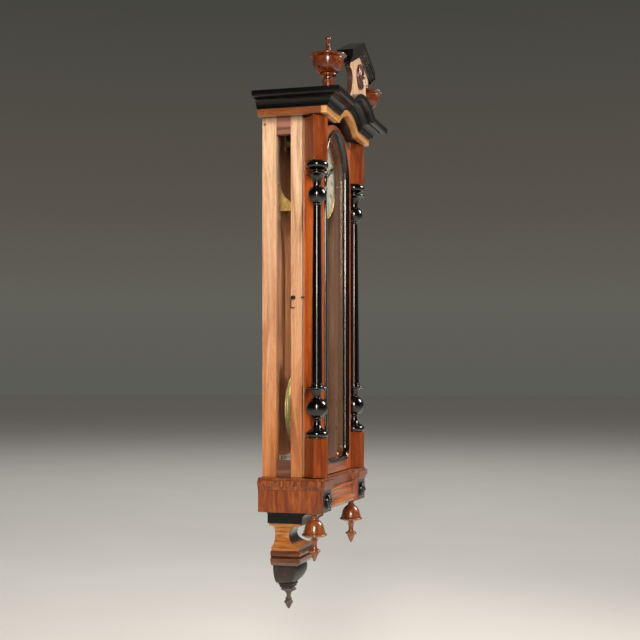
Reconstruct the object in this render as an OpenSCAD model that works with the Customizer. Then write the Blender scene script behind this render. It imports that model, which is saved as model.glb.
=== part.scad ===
// Wall regulator clock in a walnut and ebonised case, with a turned column at each front corner of its door.
// X runs across the front, Y runs back to the wall, Z is up.
// The origin is the centre of the hanger's hole, in the plane of the wall.

/* [Case] */
// Width of the case body across its side frames
body_w = 288; // [276:1:304]
// Height of the case body, from base board to fascia
body_h = 696; // [600:1:780]
// Depth of the side frames
side_d = 81.5; // [79:0.5:92]
// Thickness of the side frames
side_t = 16; // [12:1:18]
// Width of the rear stile of a side frame
rear_stile_w = 29; // [22:1:34]
// Width of the front stile of a side frame
front_stile_w = 23.5; // [18:0.5:30]
// Height of the top rail of a side frame
side_top_rail = 34; // [24:1:60]
// Height of the bottom rail of a side frame
side_bottom_rail = 32; // [24:1:60]
// Depth of the back board's raised rear field
back_field_t = 10; // [6:1:14]
// Thickness of the back board between the side frames
back_panel_t = 4; // [4:0.5:6]
// Width of the back board's raised rear field
back_field_w = 224; // [200:2:240]
// Thickness of the window glass
pane_t = 2; // [1.5:0.1:3]
// Lap of each pane behind its frame
pane_lap = 4; // [3:0.5:5]

/* [Cornice] */
// Height of the walnut fascia
fascia_h = 13.3; // [10:0.1:18]
// Thickness of the fascia
fascia_t = 14; // [10:1:18]
// Overhang of the fascia past the case side
fascia_over = 31; // [28:1:36]
// Overhang of the fascia in front of the door's face
fascia_front = 26; // [22:1:32]
// Height of the black cornice
cornice_h = 28.5; // [22:0.5:36]
// Overhang of the cornice past the fascia
cornice_over = 34; // [24:1:38]
// Half width of the arch in the fascia's lower edge
arch_half = 75; // [66:1:84]
// Rise of the arch in the fascia's lower edge
arch_rise = 26; // [20:1:32]
// Thickness of the top board
top_board_t = 8; // [6:1:12]

/* [Crest and finials] */
// Height of the crest board above the cornice
crest_h = 106; // [80:1:130]
// Thickness of the crest board
crest_t = 12; // [8:1:16]
// Half width of the crest board's foot
crest_foot = 98; // [84:1:104]
// Half width of the crest board's waist
crest_waist = 56; // [44:1:66]
// Half width of the crest roof
crest_roof_half = 98; // [84:1:110]
// Rise of the crest roof from its ends to its peak
crest_roof_rise = 38; // [24:1:48]
// Depth of the crest roof
crest_roof_d = 33; // [26:1:44]
// Radius of the turned crest rosette
crest_rosette_r = 25; // [16:1:28]
// Distance of a top finial's axis from the cornice's end
finial_in = 54; // [44:1:78]
// Distance of a top finial's axis from the wall
finial_y = 146; // [130:1:160]
// Height of a top finial
finial_h = 108; // [90:1:116]

/* [Door] */
// Thickness of the door
door_t = 30; // [27:0.5:32]
// Depth of the straight edge behind the door's canted corner
door_edge = 3; // [2:0.5:5]
// Width of the door's canted corner, measured across the front
cant_w = 27; // [24:0.5:27]
// Half width of the glass between the mouldings
sight_half = 84; // [78:0.5:86]
// Drop from the fascia to the springing line of the door's arch
arch_drop = 93; // [84:1:110]
// Height of the glass's lower edge above the base board
sight_bottom = 30; // [24:1:50]
// Radius of the glass's lower corners
sight_corner = 24; // [16:1:36]
// Width of the black door moulding
moulding_w = 10; // [8:0.5:11]
// Height of the black door moulding above the door's face
moulding_h = 4; // [2:0.5:6]
// Thickness of the door glass
door_glass_t = 2.5; // [2:0.1:3]
// Rise of the door's arched top edge
door_head_rise = 28; // [20:1:32]
// Gap round the door
door_gap = 0.7; // [0.5:0.1:1]
// Width of a column block's face
block_w = 31; // [28:0.5:33]
// Height of an upper column block
upper_block_h = 86; // [60:1:110]
// Height of a lower column block
lower_block_h = 76; // [56:1:100]
// Distance of a column's axis from the canted face
column_out = 22.5; // [21.5:0.5:24]
// Radius of a column's shaft at its foot
shaft_foot_r = 11; // [9:0.5:12]
// Radius of a column's shaft at its top
shaft_top_r = 8.4; // [7:0.2:10]

/* [Base] */
// Height of the base board
base_board_h = 22.8; // [16:0.2:30]
// Height of the base box
base_box_h = 43.4; // [34:0.2:60]
// Overhang of the base past the case side
base_over = 32; // [28:1:36]
// Overhang of the base in front of the door's face
base_front = 23; // [20:1:30]
// Setback of the base's front between its corner blocks
base_setback = 16; // [10:1:20]
// Width of a base corner block
base_block_w = 72; // [60:1:84]
// Thickness of the base box's boards
base_t = 14; // [10:1:18]
// Radius of the lower rosettes
rosette_r = 15; // [10:0.5:18]
// Distance of a drop finial's axis from the base's end
drop_in = 31; // [24:1:44]
// Distance of a drop finial's axis from the wall
drop_y = 116; // [104:1:126]
// Height of a drop finial
drop_h = 95; // [80:1:104]
// Half width of the bracket's top plate
tail_plate_half = 84; // [74:1:96]
// Depth of the bracket's top plate
tail_plate_d = 88; // [80:1:96]
// Half width of the bracket's console
console_half = 70; // [60:1:78]
// Depth of the bracket's console
console_d = 66; // [58:1:72]
// Height of the bracket's console
console_h = 58; // [46:1:80]
// Half width of the console's waist
console_waist = 30; // [24:1:36]
// Height of the bracket's square moulding
tail_moulding_h = 30; // [22:1:40]
// Half width of the bracket's square moulding
tail_moulding_half = 56; // [48:1:62]
// Height of the bracket's carved bulb
bulb_h = 50; // [40:1:64]
// Height of the bracket's finial
tail_finial_h = 46; // [36:1:56]

/* [Movement] */
// Distance of the dial's centre below the arch's springing line
dial_under = 4; // [0:0.5:6]
// Radius of the enamel dial
dial_r = 76; // [66:0.5:77]
// Width of the dial's brass bezel
bezel_w = 6; // [4:0.5:7]
// Distance of the dial's face from the wall
dial_out = 97; // [96:0.5:98]
// Distance of the back plate's rear face from the wall
back_plate_out = 50; // [49.5:0.5:51]
// Thickness of the movement plates
plate_t = 2; // [1.5:0.1:2.5]
// Distance between the movement plates
plate_gap = 32; // [31:0.5:33]
// Tooth module of the great wheel
great_module = 0.8; // [0.78:0.01:0.82]
// Tooth module of the centre wheel
centre_module = 0.7; // [0.68:0.01:0.72]
// Tooth module of the third wheel
third_module = 0.6; // [0.58:0.01:0.62]
// Tip radius of the escape wheel
escape_r = 16; // [15:0.25:17]
// Distance of the pendulum from the wall
pendulum_out = 37; // [36:0.5:38]
// Radius of the pendulum's bob
bob_r = 80; // [70:1:84]
// Thickness of the pendulum's bob
bob_t = 26; // [20:1:28]
// Height of the bob's centre above the base board
bob_rise = 129.6; // [118:0.1:150]
// Height of the beat scale's middle above the bottom board
scale_rise = 20; // [14:0.5:22]
// Width of the pendulum's wooden rod
rod_w = 15; // [12:0.5:18]
// Thickness of the pendulum's wooden rod
rod_t = 8; // [6:0.5:9]

/* [Weight] */
// Radius of the weight
weight_r = 24; // [20:0.5:24]
// Height of the weight's cylinder
weight_h = 168; // [120:2:172]
// Height of the weight's foot above the base board
weight_rise = 45; // [42:1:90]
// Radius of the winding drum, to the middle of the line
drum_r = 17.5; // [15:0.25:18]
// Radius of the weight's line
line_r = 0.9; // [0.6:0.1:1.1]

/* [Fittings] */
// Radius of the hanger's hole
hanger_hole_r = 4; // [3:0.25:5]
// Thickness of the hanger plate
hanger_t = 3; // [2:0.5:4]
// Height of the hanger's hole above the cornice
hanger_rise = 18; // [14:1:26]
// Radius of a hinge knuckle
knuckle_r = 3; // [2.5:0.25:3.5]
// Height of the hinges
hinge_h = 50; // [36:2:70]

/* [Hidden] */

$fn = 48;
walnut = "#8a4a20";
pale_walnut = "#b07a50";
black = "#15120f";
brass = "#b9924a";
steel = "#8a8d90";
glass = [0.8, 0.85, 0.85, 0.35];
far = 400;

// Levels from the hanger's hole down.
cornice_top = -hanger_rise;
fascia_top = cornice_top - cornice_h;
fascia_bottom = fascia_top - fascia_h;
base_top = fascia_bottom - body_h;
base_board_bottom = base_top - base_board_h;
base_bottom = base_board_bottom - base_box_h;

// Distances from the wall to the front, all positive.
case_rear = back_field_t;
case_front = case_rear + side_d;
door_rear = case_front + door_gap;
door_front = door_rear + door_t;
cant_start = door_rear + door_edge;
fascia_y = door_front + fascia_front;
cornice_y = fascia_y + cornice_over;
base_y = door_front + base_front;
board_front = back_field_t + back_panel_t;

body_half = body_w / 2;
inner_half = body_half - side_t;
fascia_half = body_half + fascia_over;
cornice_half = fascia_half + cornice_over;
base_half = body_half + base_over;
finial_x = cornice_half - finial_in;
drop_x = base_half - drop_in;

// The arch in the cornice: every level of the moulding keeps one centre.
arch_r = (arch_half * arch_half + arch_rise * arch_rise) / (2 * arch_rise);
arch_z = fascia_bottom + arch_rise - arch_r;

// The door.
spring_z = fascia_bottom - arch_drop;
sight_z = base_top + sight_bottom;
glass_y = door_front - 9;
opening_lap = 4;
head_half = sight_half + moulding_w + 1;
head_top = spring_z + sight_half + moulding_w + 8;
head_r = (head_half * head_half + door_head_rise * door_head_rise) / (2 * door_head_rise);
door_half = body_half;
flat_half = door_half - cant_w;
column_x = (door_half + flat_half) / 2 + column_out / sqrt(2) + (cant_w / sqrt(2) - block_w / 2)
    / sqrt(2);
column_y = cant_start + cant_w / 2 + column_out / sqrt(2) - (cant_w / sqrt(2) - block_w / 2) / sqrt(2);
block_top = fascia_bottom - 1.5;
column_top = block_top - upper_block_h;
column_bottom = base_top + 1.5 + lower_block_h;

// The movement.
dial_z = spring_z - dial_under;
front_plate_out = back_plate_out + 2 * plate_t + plate_gap;
great_teeth = 72;
centre_leaves = 12;
centre_teeth = 80;
third_teeth = 64;
leaf_teeth = 8;
great_dist = (great_teeth + centre_leaves) * great_module / 2;
third_dist = (centre_teeth + leaf_teeth) * centre_module / 2;
escape_dist = (third_teeth + leaf_teeth) * third_module / 2;
escape_up = 44;
third_up = (third_dist * third_dist - escape_dist * escape_dist + escape_up * escape_up)
    / (2 * escape_up);
third_x = sqrt(third_dist * third_dist - third_up * third_up);
anchor_up = escape_up + escape_r * sqrt(2);
anchor_z = dial_z + anchor_up;
bob_z = base_top + bob_rise;
cannon_teeth = 12;
minute_teeth = 36;
minute_leaves = 10;
hour_teeth = 40;
motion_module = 0.6;
motion_dist = (cannon_teeth + minute_teeth) * motion_module / 2;
hour_module = 2 * motion_dist / (minute_leaves + hour_teeth);
pivot_r = 1;
pivot_gap = 0.05;

great_z = dial_z - great_dist;
plate_y0 = back_plate_out + plate_t;
seat_z = great_z - great_teeth * great_module / 2 - 5;
seat_t = 3;
weight_y = back_plate_out + 24.5;
weight_top = base_top + weight_rise + weight_h;
pulley_z = weight_top + 32;

// Small sizes of the case.
header_under = 3;
cornice_rise = fascia_h + cornice_h;
header_rail_t = 10;
header_rail_low = spring_z - 6;
bottom_board_t = 8;
hanger_half = 11;
hanger_low = fascia_top - 30;
crest_front = cornice_y - 12;
roof_t = 28;
tail_plate_h = 32;
tail_axis = 27;

// The hinge line on the case's right side.
hinge_x = body_half + knuckle_r + 0.2;
hinge_y = case_front + door_gap / 2;
hinge_levels = [base_top + 0.22 * body_h, base_top + 0.72 * body_h];
latch_z = base_top + 0.5 * body_h;

// Points of an arc about c, from angle a to angle b.
function arc(c, r, a, b, n) = [for (i = [0 : n]) c + r * [cos(a + (b - a) * i / n),
    sin(a + (b - a) * i / n)]];
function turned(points, size) = [for (p = points) p * size];
function from_top(points, h) = [for (p = points) [p.x, h - p.y]];

// A flat outline in X and Z, made t thick towards the front from y out of the wall.
module slab(y, t) { translate([0, -y, 0]) rotate([90, 0, 0]) linear_extrude(t) children(); }
// A box between two corners, with depths given as distances from the wall.
module board(x0, x1, y0, y1, z0, z1) { translate([x0, -y1, z0]) cube([x1 - x0, y1 - y0, z1 - z0]); }
// A turned shape whose axis points to the front, its profile as radius and distance from the wall.
module turned_front(x, z) { translate([x, 0, z]) rotate([90, 0, 0]) rotate_extrude() children(); }
module both_sides() { children(); mirror([1, 0, 0]) children(); }

// Clock wheels.
function tooth(n, m, i, share, top) = [for (q = [[-0.5, -1.35], [-share, -1.3], [-share, 0],
    [-share * 0.7, top * 0.6],
    [-share * 0.2, top], [share * 0.2, top], [share * 0.7, top * 0.6], [share, 0], [share, -1.3]])
    let (a = 360 * (i + q.x) / n, r = n * m / 2 + q.y * m) [r * cos(a), r * sin(a)]];
module wheel_2d(n, m, share, top) { polygon([for (i = [0 : n - 1]) each tooth(n, m, i, share, top)]); }
module crossings(r0, r1, arms, arm_w) {
    difference() {
        circle(r1);
        circle(r0);
        for (i = [0 : arms - 1]) rotate(i * 360 / arms) translate([0, -arm_w / 2]) square([r1 + 1,
            arm_w]);
    }
}
// A wheel of n teeth at depth y, with a tooth at the angle phase.
module wheel(n, m, y, t, phase) {
    slab(y, t) difference() {
        rotate(phase) wheel_2d(n, m, 0.21, 0.95);
        crossings(n * m * 0.14, n * m / 2 - 3 * m, 5, n * m * 0.06 + 0.6);
    }
}
module pinion(n, m, y, t, phase) { slab(y, t) rotate(phase) wheel_2d(n, m, 0.18, 0.5); }
module rod_y(r, y0, y1) { translate([0, -y0, 0]) rotate([90, 0, 0]) cylinder(r = r, h = y1 - y0); }

// The outline in X and Z below the serpentine curve that runs h above the fascia's lower edge.
module below(h, half) {
    translate([-half, base_top]) square([2 * half, body_h + h]);
    intersection() {
        translate([0, arch_z]) circle(arch_r + h);
        translate([-far, fascia_bottom + h - 1]) square([2 * far, far]);
    }
}
// The band between two such curves.
module band(h0, h1, half) {
    difference() {
        below(h1, half);
        below(h0, half + 1);
    }
}

module back_board() color(walnut) difference() {
    union() {
        slab(0, back_field_t)
            translate([-back_field_w / 2, base_top]) square([back_field_w, cornice_top - base_top]);
        slab(back_field_t, back_panel_t) intersection() {
            below(header_under, inner_half);
            translate([-inner_half, base_top]) square([2 * inner_half, body_h + arch_rise + cornice_h]);
        }
    }
    board(-hanger_half, hanger_half, -1, hanger_t, hanger_low, far);
}

module side_frame() {
    x = inner_half;
    rear_end = case_rear + rear_stile_w;
    front_end = case_front - front_stile_w;
    top = fascia_bottom + header_under;
    difference() {
        board(x, body_half, case_rear, case_front, base_top, top);
        board(x - 1, body_half + 1, rear_end, front_end, base_top + side_bottom_rail,
            top - side_top_rail);
        board(x - 1, x + pane_t + 0.2, rear_end - pane_lap, front_end + pane_lap,
            base_top + side_bottom_rail - pane_lap, top - side_top_rail + pane_lap);
        hinge_mortises(case_front - leaf_t, case_front + 1);
    }
}
module side_frame_left() color(pale_walnut) mirror([1, 0, 0]) side_frame();
module side_frame_right() color(pale_walnut) side_frame();

module side_glasses() color(glass) both_sides() {
    g = pane_lap - 0.4;
    board(inner_half + 0.1, inner_half + 0.1 + pane_t, case_rear + rear_stile_w - g,
        case_front - front_stile_w + g,
        base_top + side_bottom_rail - g, fascia_bottom + header_under - side_top_rail + g);
}

module top_board() color(walnut) slab(back_field_t, fascia_y - fascia_t - back_field_t)
    band(cornice_rise - top_board_t, cornice_rise, fascia_half - fascia_t);

module bottom_board() color(walnut)
    board(-inner_half, inner_half, board_front, case_front, base_top, base_top + bottom_board_t);

// The carcase top, with the arched rail behind the door's head.
module header_board() color(walnut) {
    slab(back_field_t, fascia_y - fascia_t - back_field_t) band(header_under, fascia_h,
        fascia_half - fascia_t);
    slab(case_front - header_rail_t, header_rail_t) difference() {
        intersection() {
            below(header_under, inner_half);
            translate([-inner_half, header_rail_low]) square([2 * inner_half, far]);
        }
        translate([0, spring_z]) circle(sight_half + moulding_w);
        translate([-sight_half - moulding_w, header_rail_low - 1])
            square([2 * (sight_half + moulding_w), spring_z - header_rail_low + 1]);
    }
}

module fascia() color(walnut) {
    slab(fascia_y - fascia_t, fascia_t) band(0, fascia_h, fascia_half);
    both_sides()
        board(fascia_half - fascia_t, fascia_half, back_field_t, fascia_y - fascia_t, fascia_bottom,
            fascia_top);
}

// What is cut from under the cornice, as overhang and height: a fillet, a hollow, a quirk and a rounded nose.
function cornice_cut() = let (o = cornice_over, h = cornice_h) concat(
    [[0, -9], [0, 0], [0.1 * o, 0], [0.1 * o, 0.1 * h]],
    arc([0.55 * o, 0.1 * h], 0.42 * h, 180, 90, 8),
    [[0.62 * o, 0.52 * h], [0.62 * o, 0.6 * h]],
    arc([o - 0.18 * h, 0.78 * h], 0.18 * h, -90, 0, 6), [[o + 9, 0.78 * h], [o + 9, -9]]);

module cornice() color(black) difference() {
    slab(back_field_t, cornice_y - back_field_t) band(fascia_h, cornice_rise, cornice_half);
    slab(back_field_t - 1, fascia_y - fascia_t - back_field_t + 1)
        below(cornice_rise + 1, fascia_half - fascia_t);
    // Under the front's straight stretches
    translate([-far / 2, -fascia_y, fascia_top]) rotate([90, 0, 90]) linear_extrude(far)
        polygon([for (p = cornice_cut()) [-p.x, p.y]]);
    // Under the arch
    translate([0, 0, arch_z]) rotate([90, 0, 0]) rotate_extrude()
        polygon([for (p = cornice_cut()) [arch_r + fascia_h + p.y, fascia_y + p.x]]);
    // Under the returns
    both_sides() translate([fascia_half, 1, fascia_top]) rotate([90, 0, 0]) linear_extrude(far)
        polygon(cornice_cut());
}

crest_top = cornice_top + crest_h;
module crest_board() color("#d8b890") slab(crest_front - crest_t, crest_t) difference() {
    z0 = cornice_top;
    r = crest_foot - crest_waist;
    r2 = 16;
    shoulder = z0 + 8 + r + r2;
    half = concat([[crest_foot, z0 - 1], [crest_foot, z0 + 8]], arc([crest_foot, z0 + 8 + r], r, 270,
        180, 8),
        arc([crest_waist + r2, z0 + 8 + r], r2, 180, 90, 5),
        [[crest_waist + r2 + 4, shoulder], [crest_waist + r2 + 4, roof_under(crest_waist + r2 + 4)]]);
    polygon(concat(half, [[0, crest_top]], [for (i = [len(half) - 1 : -1 : 0]) [-half[i].x, half[i].y]]));
    below(cornice_rise, crest_foot + 1);
}
function roof_under(x) = crest_top - crest_roof_rise * x / crest_roof_half;

module roof_layer(z0, z1, half, d) {
    y = crest_front - crest_t / 2 - d / 2;
    fall = crest_roof_rise * half / crest_roof_half;
    slab(y, d) translate([0, crest_top])
        polygon([[-half, z0 - fall], [0, z0], [half, z0 - fall], [half, z1 - fall], [0, z1],
            [-half, z1 - fall]]);
}
module crest_roof() color(black) {
    roof_layer(0, 8, crest_roof_half - 8, crest_roof_d - 14);
    roof_layer(7, 14, crest_roof_half - 4, crest_roof_d - 7);
    roof_layer(13, roof_t, crest_roof_half, crest_roof_d);
}

module crest_rosette() color("#6b2e1a") turned_front(0, crest_top - 41) {
    r = crest_rosette_r;
    polygon([for (p = [[0, 0], [1, 0], [1, 3], [0.82, 6], [0.72, 4], [0.6, 4], [0.5, 8], [0.3, 10.5],
        [0, 11]])
        [p.x * r, crest_front + p.y]]);
}

module top_finials() color("#7a3418") both_sides() translate([finial_x, -finial_y, cornice_top])
    rotate_extrude() polygon(turned(concat([[0, 0], [17, 0], [17, 4], [13, 6], [10, 10], [8, 15],
        [11, 19], [10, 23],
        [7.5, 26], [7.5, 31], [16, 33], [17, 36]], arc([14, 58], 20, -70, -5, 8),
        [[32, 59], [32, 62], [36, 64], [36, 67], [31, 69.5], [16, 72], [6, 76], [4, 81], [3.4, 97],
        [5.2, 99.5], [5.2, 104], [2.6, 107], [0, 108]]), finial_h / 108));

// The base's plan, with its front set back between the corner blocks and a tongue behind the case's back.
module base_plan(inset) {
    h = base_half - inset;
    front = base_y - inset;
    b = h - base_block_w + 2 * inset;
    difference() {
        translate([-h, -front]) square([2 * h, front - case_rear]);
        translate([-b, -front - 1]) square([2 * b, base_setback + 1]);
    }
    translate([-back_field_w / 2, -case_rear - 1]) square([back_field_w, case_rear + 1]);
}
module base_layer(z0, z1, inset) { translate([0, 0, z0]) linear_extrude(z1 - z0) base_plan(inset); }

module base_board() color("#5a2e1c") {
    h = base_board_h;
    base_layer(base_top - 0.2 * h, base_top, 4);
    base_layer(base_top - 0.7 * h, base_top - 0.2 * h, 0);
    base_layer(base_board_bottom, base_top - 0.7 * h, 3);
}

base_inset = 5;
base_recess_y = base_y - base_inset - base_setback;
module base_box() color("#a85a30") difference() {
    base_layer(base_bottom, base_board_bottom, base_inset);
    board(-base_half + base_inset + base_t, base_half - base_inset - base_t, back_field_t + base_t,
        base_recess_y - base_t, base_bottom - 1, base_board_bottom + 1);
}

// The moulding along the front between the corner blocks.
module base_apron() color("#5a2e1c") {
    half = base_half - base_block_w + base_inset - 0.2;
    h = base_box_h;
    translate([-half, -base_recess_y, base_bottom]) rotate([90, 0, 90]) linear_extrude(2 * half)
        polygon([for (p = concat([[0, 0], [4, 0]], arc([4, 0.16 * h], 0.16 * h, -90, 90, 8), [[3,
            0.36 * h],
            [3, 0.8 * h]], arc([3, 0.87 * h], 0.07 * h, -90, 90, 6), [[0, 0.98 * h]])) [-p.x, p.y]]);
}

module base_rosettes() color("#2a1a14") both_sides()
    turned_front(base_half - base_inset - (base_block_w - base_inset) / 2,
        (base_bottom + base_board_bottom) / 2) {
    r = rosette_r;
    polygon([for (p = [[0, 0], [1, 0], [1, 3], [0.8, 6], [0.65, 4.5], [0.5, 4.5], [0.4, 9],
        [0.15, 11], [0, 11]])
        [p.x * r, base_y - base_inset + p.y]]);
}

module drop_finials() color("#3a2118") both_sides() translate([drop_x, -drop_y,
    base_bottom]) mirror([0, 0, 1])
    rotate_extrude() polygon(turned(concat([[0, 0], [14, 0], [14, 4], [10, 7], [5, 9], [5, 15]],
        arc([6, 38], 18, -80, 10, 8), [[24, 44], [21, 49], [9, 52], [6, 56], [6, 70], [11.5, 73],
            [11.5, 77],
        [8, 79], [5, 88], [2, 94], [0, 95]]), drop_h / 95));

module tail_plate() color("#7a4426") {
    half = tail_plate_half;
    edge = tail_plate_d - 4;
    r = 0.375 * tail_plate_h;
    board(-half, half, 0, tail_plate_d, base_bottom - r, base_bottom);
    // The hollow under its edge
    translate([4 - half, 0, base_bottom]) rotate([90, 0, 90]) linear_extrude(2 * half - 8)
        polygon([for (p = concat([[0, 1 - r], [edge, 1 - r]], arc([edge, -2 * r], r, 90, 180, 6),
            [[edge - r, -tail_plate_h], [0, -tail_plate_h]])) [-p.x, p.y]]);
}

tail_top = base_bottom - tail_plate_h;
console_bottom = tail_top - console_h;
// A block cut by one outline from the front and one from the side; both outlines run down from z = 0.
module two_way(z, side_outline) {
    intersection() {
        translate([0, 0, z]) slab(0, far / 2) children();
        translate([-far / 2, 0, z]) rotate([90, 0, 90]) linear_extrude(far)
            polygon([for (p = side_outline) [-p.x, p.y]]);
    }
}
// The console's hollow: half a round from depth a at its ends to depth b in its middle.
function console_hollow(a, b) = [for (t = [0 : 15 : 180])
    [a - (a - b) * sin(t), console_h * (0.38 * cos(t) - 0.5)]];
module tail_console() color("#c0702c") {
    h = console_h;
    d = console_d;
    w = console_half;
    front = concat([[w, 0], [w, -0.1 * h]], console_hollow(0.88 * w, console_waist), [[0.78 * w,
        -0.9 * h],
        [0.78 * w, -h]]);
    two_way(tail_top, concat([[0, 0], [d, 0], [d, -0.1 * h]], console_hollow(0.91 * d, 0.45 * d),
        [[0.88 * d, -0.9 * h], [0.88 * d, -h], [0, -h]]))
        polygon(concat(front, [for (i = [len(front) - 1 : -1 : 0]) [-front[i].x, front[i].y]]));
}

moulding_bottom = console_bottom - tail_moulding_h;
module tail_moulding() color("#5a3220") {
    t = tail_moulding_half;
    h = tail_moulding_h;
    side = concat([[0, 0], [t + 4, 0]], arc([t, -0.2 * h], 0.2 * h, 60, -60, 6), [[t, -0.45 * h],
        [t + 6, -0.5 * h],
        [t + 6, -0.75 * h], [t - 2, -h], [0, -h]]);
    front = [for (p = side) if (p.x > 0) p];
    two_way(console_bottom, side)
        polygon(concat(front, [for (i = [len(front) - 1 : -1 : 0]) [-front[i].x, front[i].y]]));
}

bulb_bottom = moulding_bottom - bulb_h;
module tail_bulb() color("#4a2a1a") {
    h = bulb_h;
    w = tail_moulding_half - 8;
    neck = 16;
    curve = [for (a = [0 : 10 : 90]) [neck + (w - neck) * cos(a), -0.82 * h * sin(a)]];
    two_way(moulding_bottom, concat([[0, 0]], [for (p = curve) [tail_axis + p.x * (tail_axis + 24)
        / w - 8, p.y]],
        [[tail_axis + neck, -0.82 * h], [tail_axis + neck, -h], [tail_axis - neck, -h],
        [tail_axis - neck, -0.82 * h], [0, -0.4 * h]]))
        polygon(concat([[0, 0]], curve, [[neck, -h], [-neck, -h]],
            [for (i = [len(curve) - 1 : -1 : 0]) [-curve[i].x, curve[i].y]]));
}

module tail_finial() color("#6e665e") translate([0, -tail_axis, bulb_bottom]) mirror([0, 0, 1])
    rotate_extrude() polygon(turned(concat([[0, 0], [14, 0], [16, 3], [16, 7], [13, 9], [6, 12],
        [5, 24], [8, 27]],
        arc([0, 33], 9, -30, 50, 6), [[3, 42], [1, 46], [0, 46]]), tail_finial_h / 46));

module hanger_plate() color(brass) slab(0, hanger_t) difference() {
    union() {
        circle(hanger_hole_r + 9);
        translate([0.1 - hanger_half, hanger_low]) square([2 * hanger_half - 0.2, -hanger_low]);
    }
    circle(hanger_hole_r);
}

// The movement's brackets, with a seat that the plates stand on.
bracket_x = 58;
bracket_h = 50;
module movement_bracket() color(brass) {
    front = front_plate_out + 2;
    both_sides() translate([bracket_x, 0, seat_z]) rotate([90, 0, 90]) linear_extrude(4) difference() {
        translate([-front, -bracket_h]) square([front - board_front, bracket_h]);
        translate([-front, -bracket_h]) circle(0.88 * bracket_h);
    }
    difference() {
        board(-bracket_x - 1, bracket_x + 1, pendulum_out + 9, front, seat_z - seat_t, seat_z);
        for (x = [-drum_r, drum_r]) board(x - 4, x + 4, weight_y - 4, weight_y + 4, seat_z - far,
            seat_z + 1);
    }
    // The post that the line's fixed end hangs from
    translate([drum_r, 0, seat_z + 2]) rod_y(1.5, weight_y - 7, weight_y + 7);
    for (y = [weight_y - 7, weight_y + 4]) board(drum_r - 2, drum_r + 2, y, y + 3, seat_z - 1,
        seat_z + 4);
}

plate_top = anchor_z + 9;
plate_half = 52;
arbors = [[0, great_z], [0, dial_z], [third_x, dial_z + third_up], [0, dial_z + escape_up],
    [0, anchor_z]];
module plate_outline() {
    difference() {
        polygon([[-plate_half, seat_z], [plate_half, seat_z], [plate_half, dial_z + 34], [24, plate_top],
            [-24, plate_top], [-plate_half, dial_z + 34]]);
        children();
    }
}
module back_plate() color(brass) difference() {
    slab(back_plate_out, plate_t) plate_outline()
        for (a = arbors) translate(a) circle(pivot_r + pivot_gap);
    translate([0, 0, anchor_z]) rod_y(arbor_r + pivot_gap, back_plate_out - 1, plate_y0 + 1);
}
module front_plate() color(brass) slab(front_plate_out - plate_t, plate_t) plate_outline() {
    for (a = arbors) translate(a) circle(pivot_r + pivot_gap);
    translate([0, dial_z]) circle(arbor_r + pivot_gap);
    translate([0, great_z]) circle(drum_arbor_r + pivot_gap);
}
pillar_points = [for (x = [-plate_half + 7, plate_half - 7], z = [seat_z + 8, dial_z + 26]) [x, z]];
module plate_pillars() color(brass) {
    for (p = pillar_points) translate([p.x, 0, p.y]) rotate([90, 0, 0]) rotate_extrude()
        polygon([for (q = [[0, 0], [4.5, 0], [4.5, 2], [3, 3], [3, 0.4 * plate_gap], [4, 0.5 * plate_gap],
            [3, 0.6 * plate_gap], [3, plate_gap - 3], [4.5, plate_gap - 2], [4.5, plate_gap],
                [0, plate_gap]])
            [q.x, plate_y0 + q.y]]);
    // The minute wheel's stud
    translate(minute_at()) rod_y(1.2, front_plate_out, front_plate_out + 6);
}
function minute_at() = [motion_dist * cos(minute_dir), 0, dial_z + motion_dist * sin(minute_dir)];

dial_t = 2.5;
module dial() color("white") {
    difference() {
        slab(dial_out - dial_t, dial_t) translate([0, dial_z]) circle(dial_r);
        translate([0, 0, dial_z]) rod_y(5.5, 0, far);
        translate([0, 0, great_z]) rod_y(5, 0, far);
    }
    for (x = [-dial_foot_x, dial_foot_x]) translate([x, 0, dial_z + 14])
        rod_y(2, front_plate_out, dial_out - dial_t);
}
dial_foot_x = 44;
module dial_bezel() color(brass) turned_front(0, dial_z) {
    r = dial_r;
    polygon([[r, dial_out - 3], [r + bezel_w, dial_out - 3], [r + bezel_w, dial_out],
        [r + 0.7 * bezel_w, dial_out + 2],
        [r + 0.3 * bezel_w, dial_out + 2], [r - 1, dial_out + 0.4], [r - 1, dial_out], [r, dial_out]]);
}

scale_z = base_top + bottom_board_t + scale_rise;
module beat_scale() color("white") slab(board_front, 3) intersection() {
    difference() {
        translate([0, anchor_z]) circle(anchor_z - scale_z + 7);
        translate([0, anchor_z]) circle(anchor_z - scale_z - 7);
    }
    translate([-46, scale_z - 30]) square([92, 60]);
}

// The cock on the back board; the spring hangs in its slot.
module suspension_cock() color(brass) difference() {
    union() {
        board(-10, 10, board_front, board_front + 4, anchor_z - 6, anchor_z + 26);
        board(-6, 6, board_front + 3, pendulum_out + 5, anchor_z + 3, anchor_z + 13);
        translate([0, 0, anchor_z + 9]) rod_y(3, board_front, pendulum_out + 7);
    }
    board(-0.7, 0.7, pendulum_out - 5, far, anchor_z - 1, anchor_z + 7.5);
}
module suspension_spring() color(steel) {
    board(-0.15, 0.15, pendulum_out - 4, pendulum_out + 4, anchor_z - 13, anchor_z + 7);
    board(-2, 2, pendulum_out - 5, pendulum_out + 5, anchor_z - 16, anchor_z - 10);
}

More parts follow.
